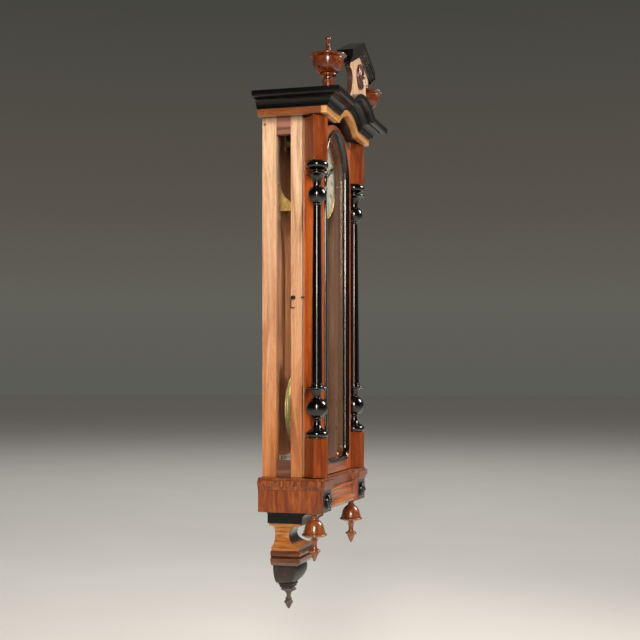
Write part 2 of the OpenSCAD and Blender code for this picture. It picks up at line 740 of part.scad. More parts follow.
rod_top = anchor_z - 16;
rod_bottom = bob_z - bob_r - 3;
crutch_z = anchor_z - 62;
module pendulum_rod() color("#6b3a1c") {
    difference() {
        board(-rod_w / 2, rod_w / 2, pendulum_out - rod_t / 2, pendulum_out + rod_t / 2,
            rod_bottom + 6, rod_top);
        board(-crutch_pin - 0.2, crutch_pin + 0.2, 0, far, crutch_z - 8, crutch_z + 8);
    }
    translate([0, -pendulum_out, scale_z + 5]) cylinder(r = 1.6, h = rod_bottom + 7 - scale_z - 5);
    translate([0, -pendulum_out, scale_z]) cylinder(r1 = 0.3, r2 = 1.6, h = 5);
}
crutch_pin = 1.5;
module pendulum_bob() color(brass) difference() {
    turned_front(0, bob_z) polygon([for (p = concat(bob_side, [for (i = [len(bob_side) - 1 : -1 : 0])
        [bob_side[i].x, -bob_side[i].y]])) [p.x, pendulum_out + p.y]]);
    board(-rod_w / 2 - 0.1, rod_w / 2 + 0.1, pendulum_out - rod_t / 2 - 0.1,
        pendulum_out + rod_t / 2 + 0.1,
        rod_bottom, far);
}
bob_side = concat([for (i = [0 : 8]) [0.92 * bob_r * sin(i * 11.25),
    -2 - (bob_t / 2 - 2) * cos(i * 11.25)]],
    [[0.94 * bob_r, -2], [0.96 * bob_r, -3], [bob_r, -2.2]]);

nut_top = bob_z - bob_r - 0.3;
module rating_nut() color(brass) translate([0, -pendulum_out, nut_top - 6]) difference() {
    rotate_extrude() polygon([[0, 0], [5, 0], [7, 1.5], [7, 4.5], [4, 6], [0, 6]]);
    translate([0, 0, -1]) cylinder(r = 1.65, h = 8);
}

leaf_t = 1.4;
leaf_w = 16;
leaf_gap = 0.3;
pin_r = 1.2;
// The recesses of both hinges between two distances from the wall.
module hinge_mortises(y0, y1) {
    for (z = hinge_levels) board(body_half - leaf_w, far, y0, y1, z - hinge_h / 2 - 0.2,
        z + hinge_h / 2 + 0.2);
}
module knuckle(z0, z1, bore) {
    translate([hinge_x, -hinge_y, z0]) difference() {
        cylinder(r = knuckle_r, h = z1 - z0);
        if (bore > 0) translate([0, 0, -1]) cylinder(r = bore, h = z1 - z0 + 2);
    }
}
module hinge_case_leaves() color(brass) for (z = hinge_levels) {
    h = hinge_h;
    board(body_half - leaf_w, body_half - 0.4, case_front - leaf_t, case_front, z - h / 2, z + h / 2);
    for (end = [[-h / 2, -h / 6], [h / 6, h / 2]]) {
        knuckle(z + end[0], z + end[1], 0);
        board(body_half - 1, hinge_x - 1, case_front - leaf_t, case_front, z + end[0], z + end[1]);
    }
    translate([hinge_x, -hinge_y, z - h / 2]) cylinder(r = pin_r, h = h);
}
module hinge_door_leaves() color(brass) for (z = hinge_levels) {
    h = hinge_h;
    low = z - h / 6 + leaf_gap;
    high = z + h / 6 - leaf_gap;
    board(body_half - leaf_w, body_half - 0.4, door_rear, door_rear + leaf_t, z - h / 2, z + h / 2);
    knuckle(low, high, pin_r + pivot_gap);
    board(body_half - 1, hinge_x - pin_r - 0.6, door_rear, door_rear + leaf_t, low, high);
}

// The outline of the glass, g larger all round.
module sight(g) {
    r = sight_corner + g;
    half = sight_half + g;
    low = sight_z + sight_corner;
    polygon(concat(arc([0, spring_z], half, 0, 180, 48), arc([r - half, low], r, 180, 270, 10),
        arc([half - r, low], r, 270, 360, 10)));
}
door_bottom = base_top + 1.5;
module door_plan() {
    polygon([[-door_half, -door_rear], [-door_half, -cant_start], [-flat_half, -door_front],
        [flat_half, -door_front], [door_half, -cant_start], [door_half, -door_rear]]);
}
module door_frame() color(walnut) difference() {
    translate([0, 0, door_bottom]) linear_extrude(block_top - door_bottom + door_head_rise) door_plan();
    // Over the head, between the canted corners
    slab(0, far) difference() {
        translate([-flat_half, head_top - door_head_rise]) square([2 * flat_half, far]);
        intersection() {
            translate([0, head_top - head_r]) circle(head_r);
            translate([-head_half, head_top - door_head_rise]) square([2 * head_half,
                door_head_rise + 1]);
        }
    }
    both_sides() board(flat_half - 0.01, far, 0, far, block_top, block_top + far);
    slab(0, far) sight(opening_lap);
    slab(0, glass_y) sight(2 * opening_lap);
    hinge_mortises(door_rear - 1, door_rear + leaf_t);
}
module door_moulding() color(black) {
    w = moulding_w;
    slab(glass_y, door_front - glass_y) difference() {
        sight(opening_lap - 0.1);
        sight(0);
    }
    for (step = [[0, 0.45, 1, w], [0.45, 0.8, 1.6, w - 1.4], [0.8, 1, 3, w - 3.2]])
        slab(door_front + step[0] * moulding_h, (step[1] - step[0]) * moulding_h) difference() {
            sight(step[3]);
            sight(step[2] - 1);
        }
}
module door_glass() color(glass) slab(glass_y - door_glass_t, door_glass_t) sight(2 * opening_lap - 0.3);

column_h = column_top - column_bottom;
module column() color(black) translate([column_x, -column_y, column_bottom]) {
    k = column_out / 22.5;
    foot = concat([[0, 0], [19, 0], [21, 2], [21, 12], [19, 15], [7.5, 17], [6.7, 22], [6.7, 32],
        [9, 35]],
        arc([0, 54.2], 20, -62, 62, 12), [[9, 74], [9, 79], [14, 85], [20, 88], [21.5, 90],
            [21.5, 95], [16, 98]]);
    head = concat([[0, 0], [19, 0], [21, 4], [21, 13], [19, 15], [13, 17], [14, 20], [20, 23],
        [20, 29], [17, 31],
        [10, 34], [7.5, 38], [7.5, 45]], arc([0, 61.8], 17, -60, 58, 12), [[9.6, 79], [9.6, 84]]);
    upper = from_top(turned(head, k), column_h);
    rotate_extrude() polygon(concat(turned(foot, k), [[shaft_foot_r + k, 101 * k],
        [shaft_foot_r, 104 * k],
        [shaft_top_r, column_h - 88 * k]], [for (i = [len(upper) - 1 : -1 : 0]) upper[i]]));
}
module column_right() column();
module column_left() mirror([1, 0, 0]) column();
module column_blocks() color("#b8620f") both_sides()
    for (z = [[door_bottom, column_bottom], [column_top, block_top]])
        translate([column_x, -column_y, z[0]]) rotate([0, 0, -45]) translate([-column_out,
            -block_w / 2, 0])
            cube([column_out + block_w / 2, block_w, z[1] - z[0]]);

// The hook hangs from its post on the left side frame and reaches the eye in the door's edge.
eye_y = door_rear + 1.6;
hook_len = 20;
hook_y = eye_y - hook_len;
hook_x = body_half + 6;
wire_r = 0.9;
module latch_post() color(brass) translate([-body_half, -hook_y, latch_z]) rotate([0, -90, 0]) {
    cylinder(r = 1.5, h = 8.5);
    cylinder(r = 4, h = 0.8);
    translate([0, 0, 8]) cylinder(r = 3, h = 1.5);
}
module latch_eye() color(brass) translate([-hook_x, -eye_y, latch_z]) {
    rotate_extrude() translate([3, 0]) circle(wire_r);
    translate([2.2, 0, 0]) rotate([0, 90, 0]) cylinder(r = wire_r, h = hook_x - body_half - 2.2);
}
module latch_hook() color(brass) translate([-hook_x, -hook_y, latch_z]) rotate([90, 0, 0]) {
    translate([-1.2, 0, 0]) rotate([0, 90, 0]) difference() {
        cylinder(r = 3, h = 2.4);
        translate([0, 0, -1]) cylinder(r = 1.55, h = 5);
    }
    translate([0, -2.5, -3.6]) rotate([90, 0, 0]) cylinder(r = wire_r, h = hook_len - 2.5);
    translate([0, -2.8, -3.6]) cylinder(r = wire_r, h = 3);
    translate([0, -hook_len, -3.6]) cylinder(r = wire_r, h = 7.5);
    translate([0, -hook_len, -3.6]) sphere(wire_r);
}

arbor_r = 1.5;
drum_arbor_r = 2.5;
minute_dir = 60;
pinion_y = plate_y0 + 1;
great_y = plate_y0 + 2;
great_t = 2.5;
escape_y = plate_y0 + 8;
third_y = plate_y0 + 18;
centre_y = plate_y0 + 26.5;
wheel_t = 2;
// The phase of the wheel driven at direction way by a wheel of n_a teeth with the given phase.
function mesh(phase, n_a, n_b, way) = way + 180 + 180 / n_b + (way - phase) * n_a / n_b;
module arbor(r, y0, y1) {
    rod_y(r, y0 + 0.4, y1 - 0.4);
    rod_y(pivot_r, y0 - plate_t + 0.2, y1 + plate_t - 0.2);
}
plate_y1 = front_plate_out - plate_t;

module great_wheel() color(brass) translate([0, 0, great_z]) difference() {
    wheel(great_teeth, great_module, great_y, great_t, 90);
    rod_y(drum_arbor_r + pivot_gap, 0, far);
}
drum_y0 = great_y + great_t + 2;
drum_y1 = weight_y + 2.2;
module winding_drum() color(brass) translate([0, 0, great_z]) {
    core = drum_r - line_r;
    rod_y(core, drum_y0 + 1.5, drum_y1);
    rod_y(core + 2.5, drum_y0, drum_y0 + 1.5);
    rod_y(drum_arbor_r, plate_y0 + 0.4, plate_y1 + plate_t + 0.5);
    rod_y(pivot_r, back_plate_out + 0.2, plate_y0 + 1);
    slab(front_plate_out, dial_out - front_plate_out - 1) square(3.2, center = true);
}
module centre_wheel() color(brass) translate([0, 0, dial_z]) {
    arbor(arbor_r, plate_y0, plate_y1);
    rod_y(arbor_r, plate_y1 - 1, front_plate_out + 0.4);
    wheel(centre_teeth, centre_module, centre_y, wheel_t, 0);
    rod_y(centre_teeth * centre_module * 0.15, centre_y - 2, centre_y + wheel_t);
    pinion(centre_leaves, great_module, pinion_y, great_t + 3, mesh(90, great_teeth, centre_leaves, 90));
    pinion(cannon_teeth, motion_module, front_plate_out + 0.4, wheel_t, 0);
    rod_y(2.2, front_plate_out + 0.4, hand_y + 5);
}
module minute_wheel() color(brass) translate(minute_at()) difference() {
    union() {
        slab(front_plate_out + 0.4, wheel_t) rotate(mesh(0, cannon_teeth, minute_teeth, minute_dir))
            wheel_2d(minute_teeth, motion_module, 0.21, 0.95);
        pinion(minute_leaves, hour_module, front_plate_out + 2.3, wheel_t + 0.7, 0);
    }
    rod_y(1.25, 0, far);
}
hand_y = dial_out + 1;
module hour_wheel() color(brass) translate([0, 0, dial_z]) difference() {
    union() {
        slab(front_plate_out + 2.8, wheel_t) rotate(mesh(0, minute_leaves, hour_teeth, minute_dir + 180))
            wheel_2d(hour_teeth, hour_module, 0.21, 0.95);
        rod_y(3.6, front_plate_out + 2.8, hand_y + 1.4);
    }
    rod_y(2.25, 0, far);
}
// A pierced hand that points up, with a hub of radius hub at its foot.
module hand_2d(length, width, hub) {
    circle(hub);
    translate([-width * 0.35, 0]) square([width * 0.7, length * 0.58]);
    difference() {
        translate([0, length * 0.62]) circle(width * 1.3);
        translate([0, length * 0.62]) circle(width * 0.7);
    }
    polygon([[-width * 0.9, length * 0.7], [0, length * 0.67], [width * 0.9, length * 0.7],
        [width * 0.3, length * 0.82],
        [0, length], [-width * 0.3, length * 0.82]]);
}
module hour_hand() color(black) translate([0, 0, dial_z]) difference() {
    slab(hand_y, 1) rotate(hour_turn) hand_2d(0.62 * dial_r, 5, 7);
    rod_y(3.6, 0, far);
}
module minute_hand() color(black) translate([0, 0, dial_z]) difference() {
    slab(hand_y + 2.6, 1) rotate(minute_turn) hand_2d(0.9 * dial_r, 4, 5);
    rod_y(2.2, 0, far);
}
hour_turn = 55;
minute_turn = -60;
module third_wheel() color(brass) translate([third_x, 0, dial_z + third_up]) {
    arbor(arbor_r, plate_y0, plate_y1);
    wheel(third_teeth, third_module, third_y, wheel_t, 0);
    rod_y(third_teeth * third_module * 0.15, third_y - 1, third_y + wheel_t);
    pinion(leaf_teeth, centre_module, centre_y - 1, wheel_t + 2,
        mesh(0, centre_teeth, leaf_teeth, atan2(third_up, third_x)));
}
escape_teeth = 30;
module escape_wheel() color(brass) translate([0, 0, dial_z + escape_up]) {
    arbor(arbor_r * 0.8, plate_y0, plate_y1);
    slab(escape_y, 1.5) difference() {
        polygon([for (i = [0 : escape_teeth - 1]) each [for (q = [[0, 0.8], [3.5, 1], [4.1, 1], [5, 0.8]])
            escape_r * q.y * [cos(12 * i + q.x), sin(12 * i + q.x)]]]);
        crossings(4, escape_r * 0.68, 5, 2);
    }
    pinion(leaf_teeth, third_module, third_y - 1, wheel_t + 2,
        mesh(0, third_teeth, leaf_teeth, atan2(escape_up - third_up, -third_x)));
}
module anchor_crutch() color(steel) translate([0, 0, anchor_z]) {
    rod_y(arbor_r, pendulum_out + 7, plate_y1 - 0.4);
    rod_y(pivot_r, plate_y1 - 1, plate_y1 + plate_t - 0.2);
    slab(escape_y, 2.5) anchor_2d();
    // The crutch behind the back plate
    slab(pendulum_out + 7, 2) {
        circle(4);
        translate([-1.5, crutch_z - anchor_z - 3]) square([3, anchor_z - crutch_z + 3]);
    }
    translate([0, 0, crutch_z - anchor_z]) rod_y(crutch_pin, pendulum_out - rod_t / 2 - 1,
        pendulum_out + 8);
}
module anchor_2d() {
    arm = [[0, 5], [13, -3], [16.5, -9], [13.6, -11.6], [12.2, -10.4], [10.5, -5.5], [0, -1.5]];
    k = escape_r / 16;
    polygon(k * arm);
    mirror([1, 0]) polygon(k * arm);
    circle(4);
}

pulley_r = drum_r + 2.5;
module weight() color(brass) {
    translate([0, -weight_y, weight_top - weight_h]) rotate_extrude() polygon(concat([[0, 0],
        [weight_r - 5, 0]],
        arc([weight_r - 5, 5], 5, -90, 0, 5), arc([weight_r - 4, weight_h - 4], 4, 0, 90, 5), [[8,
            weight_h],
        [8, weight_h + 3], [0, weight_h + 3]]));
    for (s = [-5, 5]) board(-5, 5, weight_y + s - 1.2, weight_y + s + 1.2, weight_top + 6, pulley_z + 6);
    board(-5, 5, weight_y - 6.2, weight_y + 6.2, weight_top + 2, weight_top + 8);
    translate([0, 0, pulley_z]) rod_y(1.5, weight_y - 7.5, weight_y + 7.5);
}
module weight_pulley() color(brass) translate([0, 0, pulley_z]) difference() {
    rotate([90, 0, 0]) rotate_extrude() polygon([for (p = [[0, -3.5], [pulley_r, -3.5], [pulley_r, -2.6],
        [drum_r - line_r - 0.1, -0.8], [drum_r - line_r - 0.1, 0.8], [pulley_r, 2.6], [pulley_r, 3.5],
            [0, 3.5]])
        [p.x, weight_y + p.y]]);
    rod_y(1.55, 0, far);
    for (i = [0 : 4]) rotate([0, 72 * i, 0]) translate([10, 0, 0]) rod_y(3.2, 0, far);
}
module weight_line() color("#b8a06a") {
    for (end = [[-drum_r, great_z], [drum_r, seat_z + 0.4]])
        translate([end[0], -weight_y, pulley_z]) cylinder(r = line_r, h = end[1] - pulley_z);
    translate([0, -weight_y, pulley_z]) rotate([-90, 0, 0]) rotate_extrude(angle = 180)
        translate([drum_r, 0]) circle(line_r);
}

back_board();
side_frame_left();
side_frame_right();
side_glasses();
top_board();
bottom_board();
header_board();
fascia();
cornice();
crest_board();
crest_roof();
crest_rosette();
top_finials();
base_board();
base_box();
base_apron();
base_rosettes();
drop_finials();
tail_plate();
tail_console();
tail_moulding();
tail_bulb();
tail_finial();
hanger_plate();
movement_bracket();
back_plate();
front_plate();
plate_pillars();
dial();
dial_bezel();
beat_scale();
suspension_cock();
hinge_case_leaves();
latch_post();
latch_hook();
door_frame();
door_moulding();
door_glass();
column_left();
column_right();
column_blocks();
hinge_door_leaves();
latch_eye();
suspension_spring();
pendulum_rod();
pendulum_bob();
rating_nut();
anchor_crutch();
centre_wheel();
minute_hand();
minute_wheel();
hour_wheel();
hour_hand();
third_wheel();
escape_wheel();
great_wheel();
winding_drum();
weight();
weight_pulley();
weight_line();
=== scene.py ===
"""A weight-driven wall regulator in a walnut and ebonised case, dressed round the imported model.

All sizes are in millimetres and are scaled to metres as each piece is finished.
X runs to the right, -Y towards the room, Z up, from the hanger's hole in the wall's plane.
"""
import math

import bmesh
import bpy
from mathutils import Matrix, Vector


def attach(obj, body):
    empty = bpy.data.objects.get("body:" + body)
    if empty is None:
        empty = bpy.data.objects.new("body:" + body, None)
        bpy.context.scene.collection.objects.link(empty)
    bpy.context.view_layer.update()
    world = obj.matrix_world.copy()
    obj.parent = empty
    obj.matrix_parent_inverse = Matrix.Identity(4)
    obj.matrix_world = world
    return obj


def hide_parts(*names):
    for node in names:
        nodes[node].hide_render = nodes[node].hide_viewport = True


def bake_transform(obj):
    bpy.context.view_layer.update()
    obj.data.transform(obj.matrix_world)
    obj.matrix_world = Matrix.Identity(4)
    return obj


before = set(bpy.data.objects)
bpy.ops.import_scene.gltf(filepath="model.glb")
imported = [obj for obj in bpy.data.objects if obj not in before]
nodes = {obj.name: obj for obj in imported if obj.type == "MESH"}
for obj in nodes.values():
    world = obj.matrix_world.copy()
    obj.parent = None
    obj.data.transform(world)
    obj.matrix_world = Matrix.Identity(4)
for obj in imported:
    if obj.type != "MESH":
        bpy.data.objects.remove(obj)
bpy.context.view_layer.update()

# The camera stands well to the left of the case, at the height of its lower half.
CAMERA_PLACE = (-2.4055, -0.7541, -0.5697)
CAMERA_TURN = -74.5
FOCAL_PIXELS = 1220.1
HORIZON_ROW = 381.2
IMAGE_SIZE = 640
SENSOR = 36.0

scene = bpy.context.scene
camera_data = bpy.data.cameras.new("camera")
camera_data.sensor_width = SENSOR
camera_data.lens = FOCAL_PIXELS * SENSOR / IMAGE_SIZE
camera_data.shift_y = (HORIZON_ROW - IMAGE_SIZE / 2) / IMAGE_SIZE
camera_data.clip_start = 0.05
camera = bpy.data.objects.new("camera", camera_data)
camera.location = CAMERA_PLACE
camera.rotation_euler = (math.radians(90), 0, math.radians(CAMERA_TURN))
scene.collection.objects.link(camera)
scene.camera = camera
scene.view_settings.view_transform = "Standard"

MM = 0.001

# Levels and depths that the pieces share; depths are distances from the wall.
FASCIA_BOTTOM = -59.8
BASE_TOP = -755.8
SPRING = -152.8
DIAL = -156.8
GREAT = -190.4
ANCHOR = -90.173
BOB = -626.2
PULLEY = -510.8
WEIGHT_TOP = -542.8
CASE_REAR = 10.0
CASE_FRONT = 91.5
DOOR_FRONT = 122.2
GLASS_FRONT = 113.2
CREST_FRONT = 170.2
BULB_BOTTOM = -992.0
BODY_HALF = 144.0
COLUMN_X = 148.95
COLUMN_Y = 122.07
PENDULUM_Y = 37.0
WEIGHT_Y = 74.5
FORWARD = (0, -1, 0)
BACKWARD = (0, 1, 0)
DOWN = (0, 0, -1)


# Materials

BAND_STOPS = (0.28, 0.5, 0.72)
AXES = "XYZ"


def linear(colour):
    """An sRGB hex colour as linear red, green, blue and alpha."""
    parts = [int(colour[i:i + 2], 16) / 255 for i in (1, 3, 5)]
    return [c / 12.92 if c <= 0.04045 else ((c + 0.055) / 1.055) ** 2.4 for c in parts] + [1.0]


def add(tree, kind, values=None, links=None, stops=(), **settings):
    """Adds one shader node, sets its properties, socket values and colour stops, and links its sockets."""
    node = tree.nodes.new("ShaderNode" + kind)
    for name, value in settings.items():
        setattr(node, name, value)
    for socket, value in (values or {}).items():
        node.inputs[socket].default_value = value
    for socket, source in (links or {}).items():
        tree.links.new(source, node.inputs[socket])
    if stops:
        band = node.color_ramp.elements
        band[0].position = stops[0][0]
        band[1].position = stops[-1][0]
        band[0].color = linear(stops[0][1])
        band[1].color = linear(stops[-1][1])
        for position, colour in stops[1:-1]:
            band.new(position).color = linear(colour)
    return node


def fresh(name):
    """A material with an empty tree, and the socket that places its surface in the object."""
    material = bpy.data.materials.new(name)
    material.use_nodes = True
    tree = material.node_tree
    tree.nodes.clear()
    return material, tree, add(tree, "TexCoord").outputs["Object"]


def finished(material, tree, shader):
    """The material, with its shader given out as its surface."""
    add(tree, "OutputMaterial", links={"Surface": shader.outputs[0]})
    return material


def units(across, along=None, grain="Z"):
    """The scale that counts object coordinates in so many millimetres across and along the grain."""
    scale = [1 / (across * MM)] * 3
    scale[AXES.index(grain)] = 1 / ((along or across) * MM)
    return scale


def wood(name, colours, grain="Z", figure=16, pore=0.7, rough=0.32, coat=0.5, streak=0.5, foot=None, burr=0.0,
         stain=None):
    """Planed timber under polish: bands of figure, growth lines, dark open pores and a soft sheen.
    foot gives the colours that it fades to at the case's foot, and burr swirls its figure. stain is an axis,
    a colour, and how nearly a face has to look along that axis to take none of that colour, and to take it
    all;
    it is a real stain on the base box, and painted shade and a painted reflection on other boards."""
    material, tree, place = fresh(name)
    # Bands of figure, so many millimetres wide and drawn out along the grain
    laid = add(tree, "Mapping", {"Scale": units(figure, figure * (11 - 8 * burr), grain)}, {"Vector": place})
    bands = add(tree, "TexNoise",
                {"Scale": 1.0, "Detail": 5.0, "Roughness": 0.6, "Distortion": 1.1 + 2 * burr},
                {"Vector": laid.outputs[0]}).outputs[0]
    tone = add(tree, "ValToRGB", links={"Fac": bands}, stops=list(zip(BAND_STOPS, colours))).outputs[0]
    if foot:
        height = add(tree, "SeparateXYZ", links={"Vector": place}).outputs["Z"]
        fade = add(tree, "MapRange", {"From Min": -0.12, "From Max": -0.70}, {"Value": height}).outputs[0]
        lower = add(tree, "ValToRGB", links={"Fac": bands}, stops=list(zip(BAND_STOPS, foot))).outputs[0]
        tone = add(tree, "Mix", links={0: fade, 6: tone, 7: lower}, data_type="RGBA").outputs[2]
    # Growth lines, a few millimetres apart
    growth = units(figure * 0.22, figure * (9 - 6 * burr), grain)
    laid = add(tree, "Mapping", {"Scale": growth}, {"Vector": place})
    lines = add(tree, "TexNoise", {"Scale": 1.0, "Detail": 3.0, "Roughness": 0.65, "Distortion": 0.6 + burr},
                {"Vector": laid.outputs[0]}).outputs[0]
    depth = add(tree, "MapRange", {"From Min": 0.5, "From Max": 0.75, "To Max": streak},
                {"Value": lines}).outputs[0]
    tone = add(tree, "Mix", {7: linear(colours[0])}, {0: depth, 6: tone}, data_type="RGBA",
               blend_type="MULTIPLY").outputs[2]
    # Open pores, drawn coarser than life so that they show
    laid = add(tree, "Mapping", {"Scale": units(pore, pore * 22, grain)}, {"Vector": place})
    pores = add(tree, "TexNoise", {"Scale": 1.0, "Detail": 2.0, "Roughness": 0.5},
                {"Vector": laid.outputs[0]}).outputs[0]
    depth = add(tree, "MapRange", {"From Min": 0.56, "From Max": 0.74, "To Max": 0.55},
                {"Value": pores}).outputs[0]
    tone = add(tree, "Mix", {7: linear(colours[0])}, {0: depth, 6: tone}, data_type="RGBA",
               blend_type="MULTIPLY").outputs[2]
    # Faces tinted by which way they look: a real stain on the base box, painted shade and reflection on
    # others
    if stain:
        axis, colour, clean, full = stain
        facing = add(tree, "SeparateXYZ", links={"Vector": place.node.outputs["Normal"]}).outputs[axis]
        aligned = add(tree, "Math", links={0: facing}, operation="ABSOLUTE").outputs[0]
        share = add(tree, "MapRange", {"From Min": clean, "From Max": full, "To Max": 0.96},
                    {"Value": aligned}).outputs[0]
        tone = add(tree, "Mix", {7: linear(colour)}, {0: share, 6: tone}, data_type="RGBA").outputs[2]
    dull = add(tree, "MapRange", {"To Min": rough * 0.8, "To Max": rough * 1.3}, {"Value": bands}).outputs[0]
    bump = add(tree, "Bump", {"Strength": 0.12, "Distance": 0.0004}, {"Height": pores}).outputs[0]
    shader = add(tree, "BsdfPrincipled", {"Coat Weight": coat, "Coat Roughness": 0.18, "IOR": 1.5},
                 {"Base Color": tone, "Roughness": dull, "Normal": bump})
    return finished(material, tree, shader)


def polished(name, dark, worn, rough=0.16, wear=0.35, spot=14, coat=0.7, ripple=0.06, glance=0.5):
    """Stained wood under shellac: a deep gloss, with faint rubbed patches where the stain has worn.
    glance is how strongly it mirrors. A moulding cut in small waves has a ripple above 0.1."""
    material, tree, place = fresh(name)
    laid = add(tree, "Mapping", {"Scale": units(spot)}, {"Vector": place})
    patches = add(tree, "TexNoise", {"Scale": 1.0, "Detail": 6.0, "Roughness": 0.62},
                  {"Vector": laid.outputs[0]}).outputs[0]
    rubbed = add(tree, "MapRange", {"From Min": 0.52, "From Max": 0.8, "To Max": wear},
                 {"Value": patches}).outputs[0]
    tone = add(tree, "Mix", {6: linear(dark), 7: linear(worn)}, {0: rubbed}, data_type="RGBA").outputs[2]
    fine = units(1.2 + 4 * ripple, 30 if ripple < 0.1 else 9)
    laid = add(tree, "Mapping", {"Scale": fine}, {"Vector": place})
    grain = add(tree, "TexNoise", {"Scale": 1.0, "Detail": 2.0, "Roughness": 0.6},
                {"Vector": laid.outputs[0]}).outputs[0]
    bump = add(tree, "Bump", {"Strength": ripple, "Distance": 0.0003}, {"Height": grain}).outputs[0]
    dull = add(tree, "MapRange", {"To Min": rough, "To Max": rough * 1.5}, {"Value": patches}).outputs[0]
    shader = add(tree, "BsdfPrincipled",
                 {"Coat Weight": coat, "Coat Roughness": 0.08, "IOR": 1.5, "Specular IOR Level": glance},
                 {"Base Color": tone, "Roughness": dull, "Normal": bump})
    return finished(material, tree, shader)


def metal(name, light, dark, rough=0.3, spot=9):
    """Rolled or turned metal: fine lay lines half a millimetre apart, and a little tarnish in soft clouds."""
    material, tree, place = fresh(name)
    laid = add(tree, "Mapping", {"Scale": units(spot)}, {"Vector": place})
    tarnish = add(tree, "TexNoise", {"Scale": 1.0, "Detail": 5.0, "Roughness": 0.6},
                  {"Vector": laid.outputs[0]}).outputs[0]
    tone = add(tree, "ValToRGB", links={"Fac": tarnish}, stops=[(0.3, dark), (0.62, light)]).outputs[0]
    laid = add(tree, "Mapping", {"Scale": units(0.5, 18, "X")}, {"Vector": place})
    lines = add(tree, "TexNoise", {"Scale": 1.0, "Detail": 2.0}, {"Vector": laid.outputs[0]}).outputs[0]
    bump = add(tree, "Bump", {"Strength": 0.05, "Distance": 0.0002}, {"Height": lines}).outputs[0]
    dull = add(tree, "MapRange", {"To Min": rough * 0.8, "To Max": rough * 1.4},
               {"Value": tarnish}).outputs[0]
    shader = add(tree, "BsdfPrincipled", {"Metallic": 1.0},
                 {"Base Color": tone, "Roughness": dull, "Normal": bump})
    return finished(material, tree, shader)


def fired(name, light, dark):
    """Enamel or glazed porcelain: a smooth off-white with a faint ripple from the kiln."""
    material, tree, place = fresh(name)
    laid = add(tree, "Mapping", {"Scale": units(5)}, {"Vector": place})
    ripple = add(tree, "TexNoise", {"Scale": 1.0, "Detail": 3.0}, {"Vector": laid.outputs[0]}).outputs[0]
    tone = add(tree, "ValToRGB", links={"Fac": ripple}, stops=[(0.3, dark), (0.6, light)]).outputs[0]
    bump = add(tree, "Bump", {"Strength": 0.04, "Distance": 0.0003}, {"Height": ripple}).outputs[0]
    shader = add(tree, "BsdfPrincipled", {"Roughness": 0.18, "Coat Weight": 0.6, "Coat Roughness": 0.06},
                 {"Base Color": tone, "Normal": bump})
    return finished(material, tree, shader)


def drawn_glass(name):
    """Old drawn window glass: clear, with a slow waviness 60 mm long in what it mirrors."""
    material, tree, place = fresh(name)
    laid = add(tree, "Mapping", {"Scale": units(60)}, {"Vector": place})
    waves = add(tree, "TexNoise", {"Scale": 1.0, "Detail": 1.0}, {"Vector": laid.outputs[0]}).outputs[0]
    bump = add(tree, "Bump", {"Strength": 0.1, "Distance": 0.002}, {"Height": waves}).outputs[0]
    clear = add(tree, "BsdfTransparent", {"Color": linear("#F8FAF8")}).outputs[0]
    sheen = add(tree, "BsdfGlossy", {"Color": linear("#FFFFFF"), "Roughness": 0.02},
                {"Normal": bump}).outputs[0]
    edge = add(tree, "Fresnel", {"IOR": 1.45}, {"Normal": bump}).outputs[0]
    # Only the faces turned to the eye mirror, or a thin pane would look black from within
    behind = add(tree, "NewGeometry").outputs["Backfacing"]
    front = add(tree, "Math", {0: 1.0}, {1: behind}, operation="SUBTRACT").outputs[0]
    strength = add(tree, "Math", links={0: edge, 1: front}, operation="MULTIPLY").outputs[0]
    return finished(material, tree, add(tree, "MixShader", links={0: strength, 1: clear, 2: sheen}))


def twisted_gut(name):
    """Laid gut line: a yellowish, half-clear cord whose twist repeats every 2.4 mm."""
    material, tree, place = fresh(name)
    laid = add(tree, "Mapping", {"Scale": units(0.8, 2.4)}, {"Vector": place})
    twist = add(tree, "TexNoise", {"Scale": 1.0, "Detail": 3.0}, {"Vector": laid.outputs[0]}).outputs[0]
    tone = add(tree, "ValToRGB", links={"Fac": twist}, stops=[(0.3, "#8A7040"), (0.7, "#C8B078")]).outputs[0]
    bump = add(tree, "Bump", {"Strength": 0.3, "Distance": 0.0003}, {"Height": twist}).outputs[0]
    shader = add(tree, "BsdfPrincipled", {"Roughness": 0.5}, {"Base Color": tone, "Normal": bump})
    return finished(material, tree, shader)


def flat_ink(name):
    """Fired black paint on enamel: dense, a little uneven where the brush was lifted."""
    material, tree, place = fresh(name)
    laid = add(tree, "Mapping", {"Scale": units(2)}, {"Vector": place})
    body = add(tree, "TexNoise", {"Scale": 1.0, "Detail": 3.0}, {"Vector": laid.outputs[0]}).outputs[0]
    tone = add(tree, "ValToRGB", links={"Fac": body}, stops=[(0.4, "#141210"), (0.8, "#2A2622")]).outputs[0]
    return finished(material, tree, add(tree, "BsdfPrincipled", {"Roughness": 0.35}, {"Base Color": tone}))


# Walnut of the door's stiles, planed and polished: a strong red-orange with upright stripes. The faces
# that look sideways are painted a greyish tan, a painted reflection of the glass's grey veil over the reveals
walnut_up = wood("polished_walnut", ("#6A2A0A", "#B04C12", "#CC6A20"), streak=0.4,
                 stain=("X", "#8E6852", 0.85, 0.95))
# The same board laid across in the door's head and foot: browner, its figure lying level
walnut_across = wood("polished_walnut_crosswise", ("#5A2A10", "#9C5024", "#BE7240"), "X")
# Walnut edge of the fascia in a light honey with few stripes: a painted glare where the front catches the
# light
fascia_front = wood("walnut_edge_painted_glare", ("#9C6230", "#D49A58", "#E8BA80"), "X", streak=0.3)
# The fascia's returns, the same walnut without that painted glare: orange with darker drawn-out flames
fascia_side = wood("orange_walnut_returns", ("#4A2208", "#7C4012", "#965A20"), "Y", streak=0.5)
# Softwood beneath the head, nearly black: painted shade under the fascia, red where light reaches it
soffit_wood = wood("soffit_painted_shade", ("#140805", "#280F0A", "#3C1A10"), "X", rough=0.4, coat=0.3)
# Oiled walnut boards of the case's inside: warm brown, matt
case_walnut = wood("oiled_walnut_board", ("#84482A", "#C07C54", "#DCA078"), rough=0.5, coat=0.1)
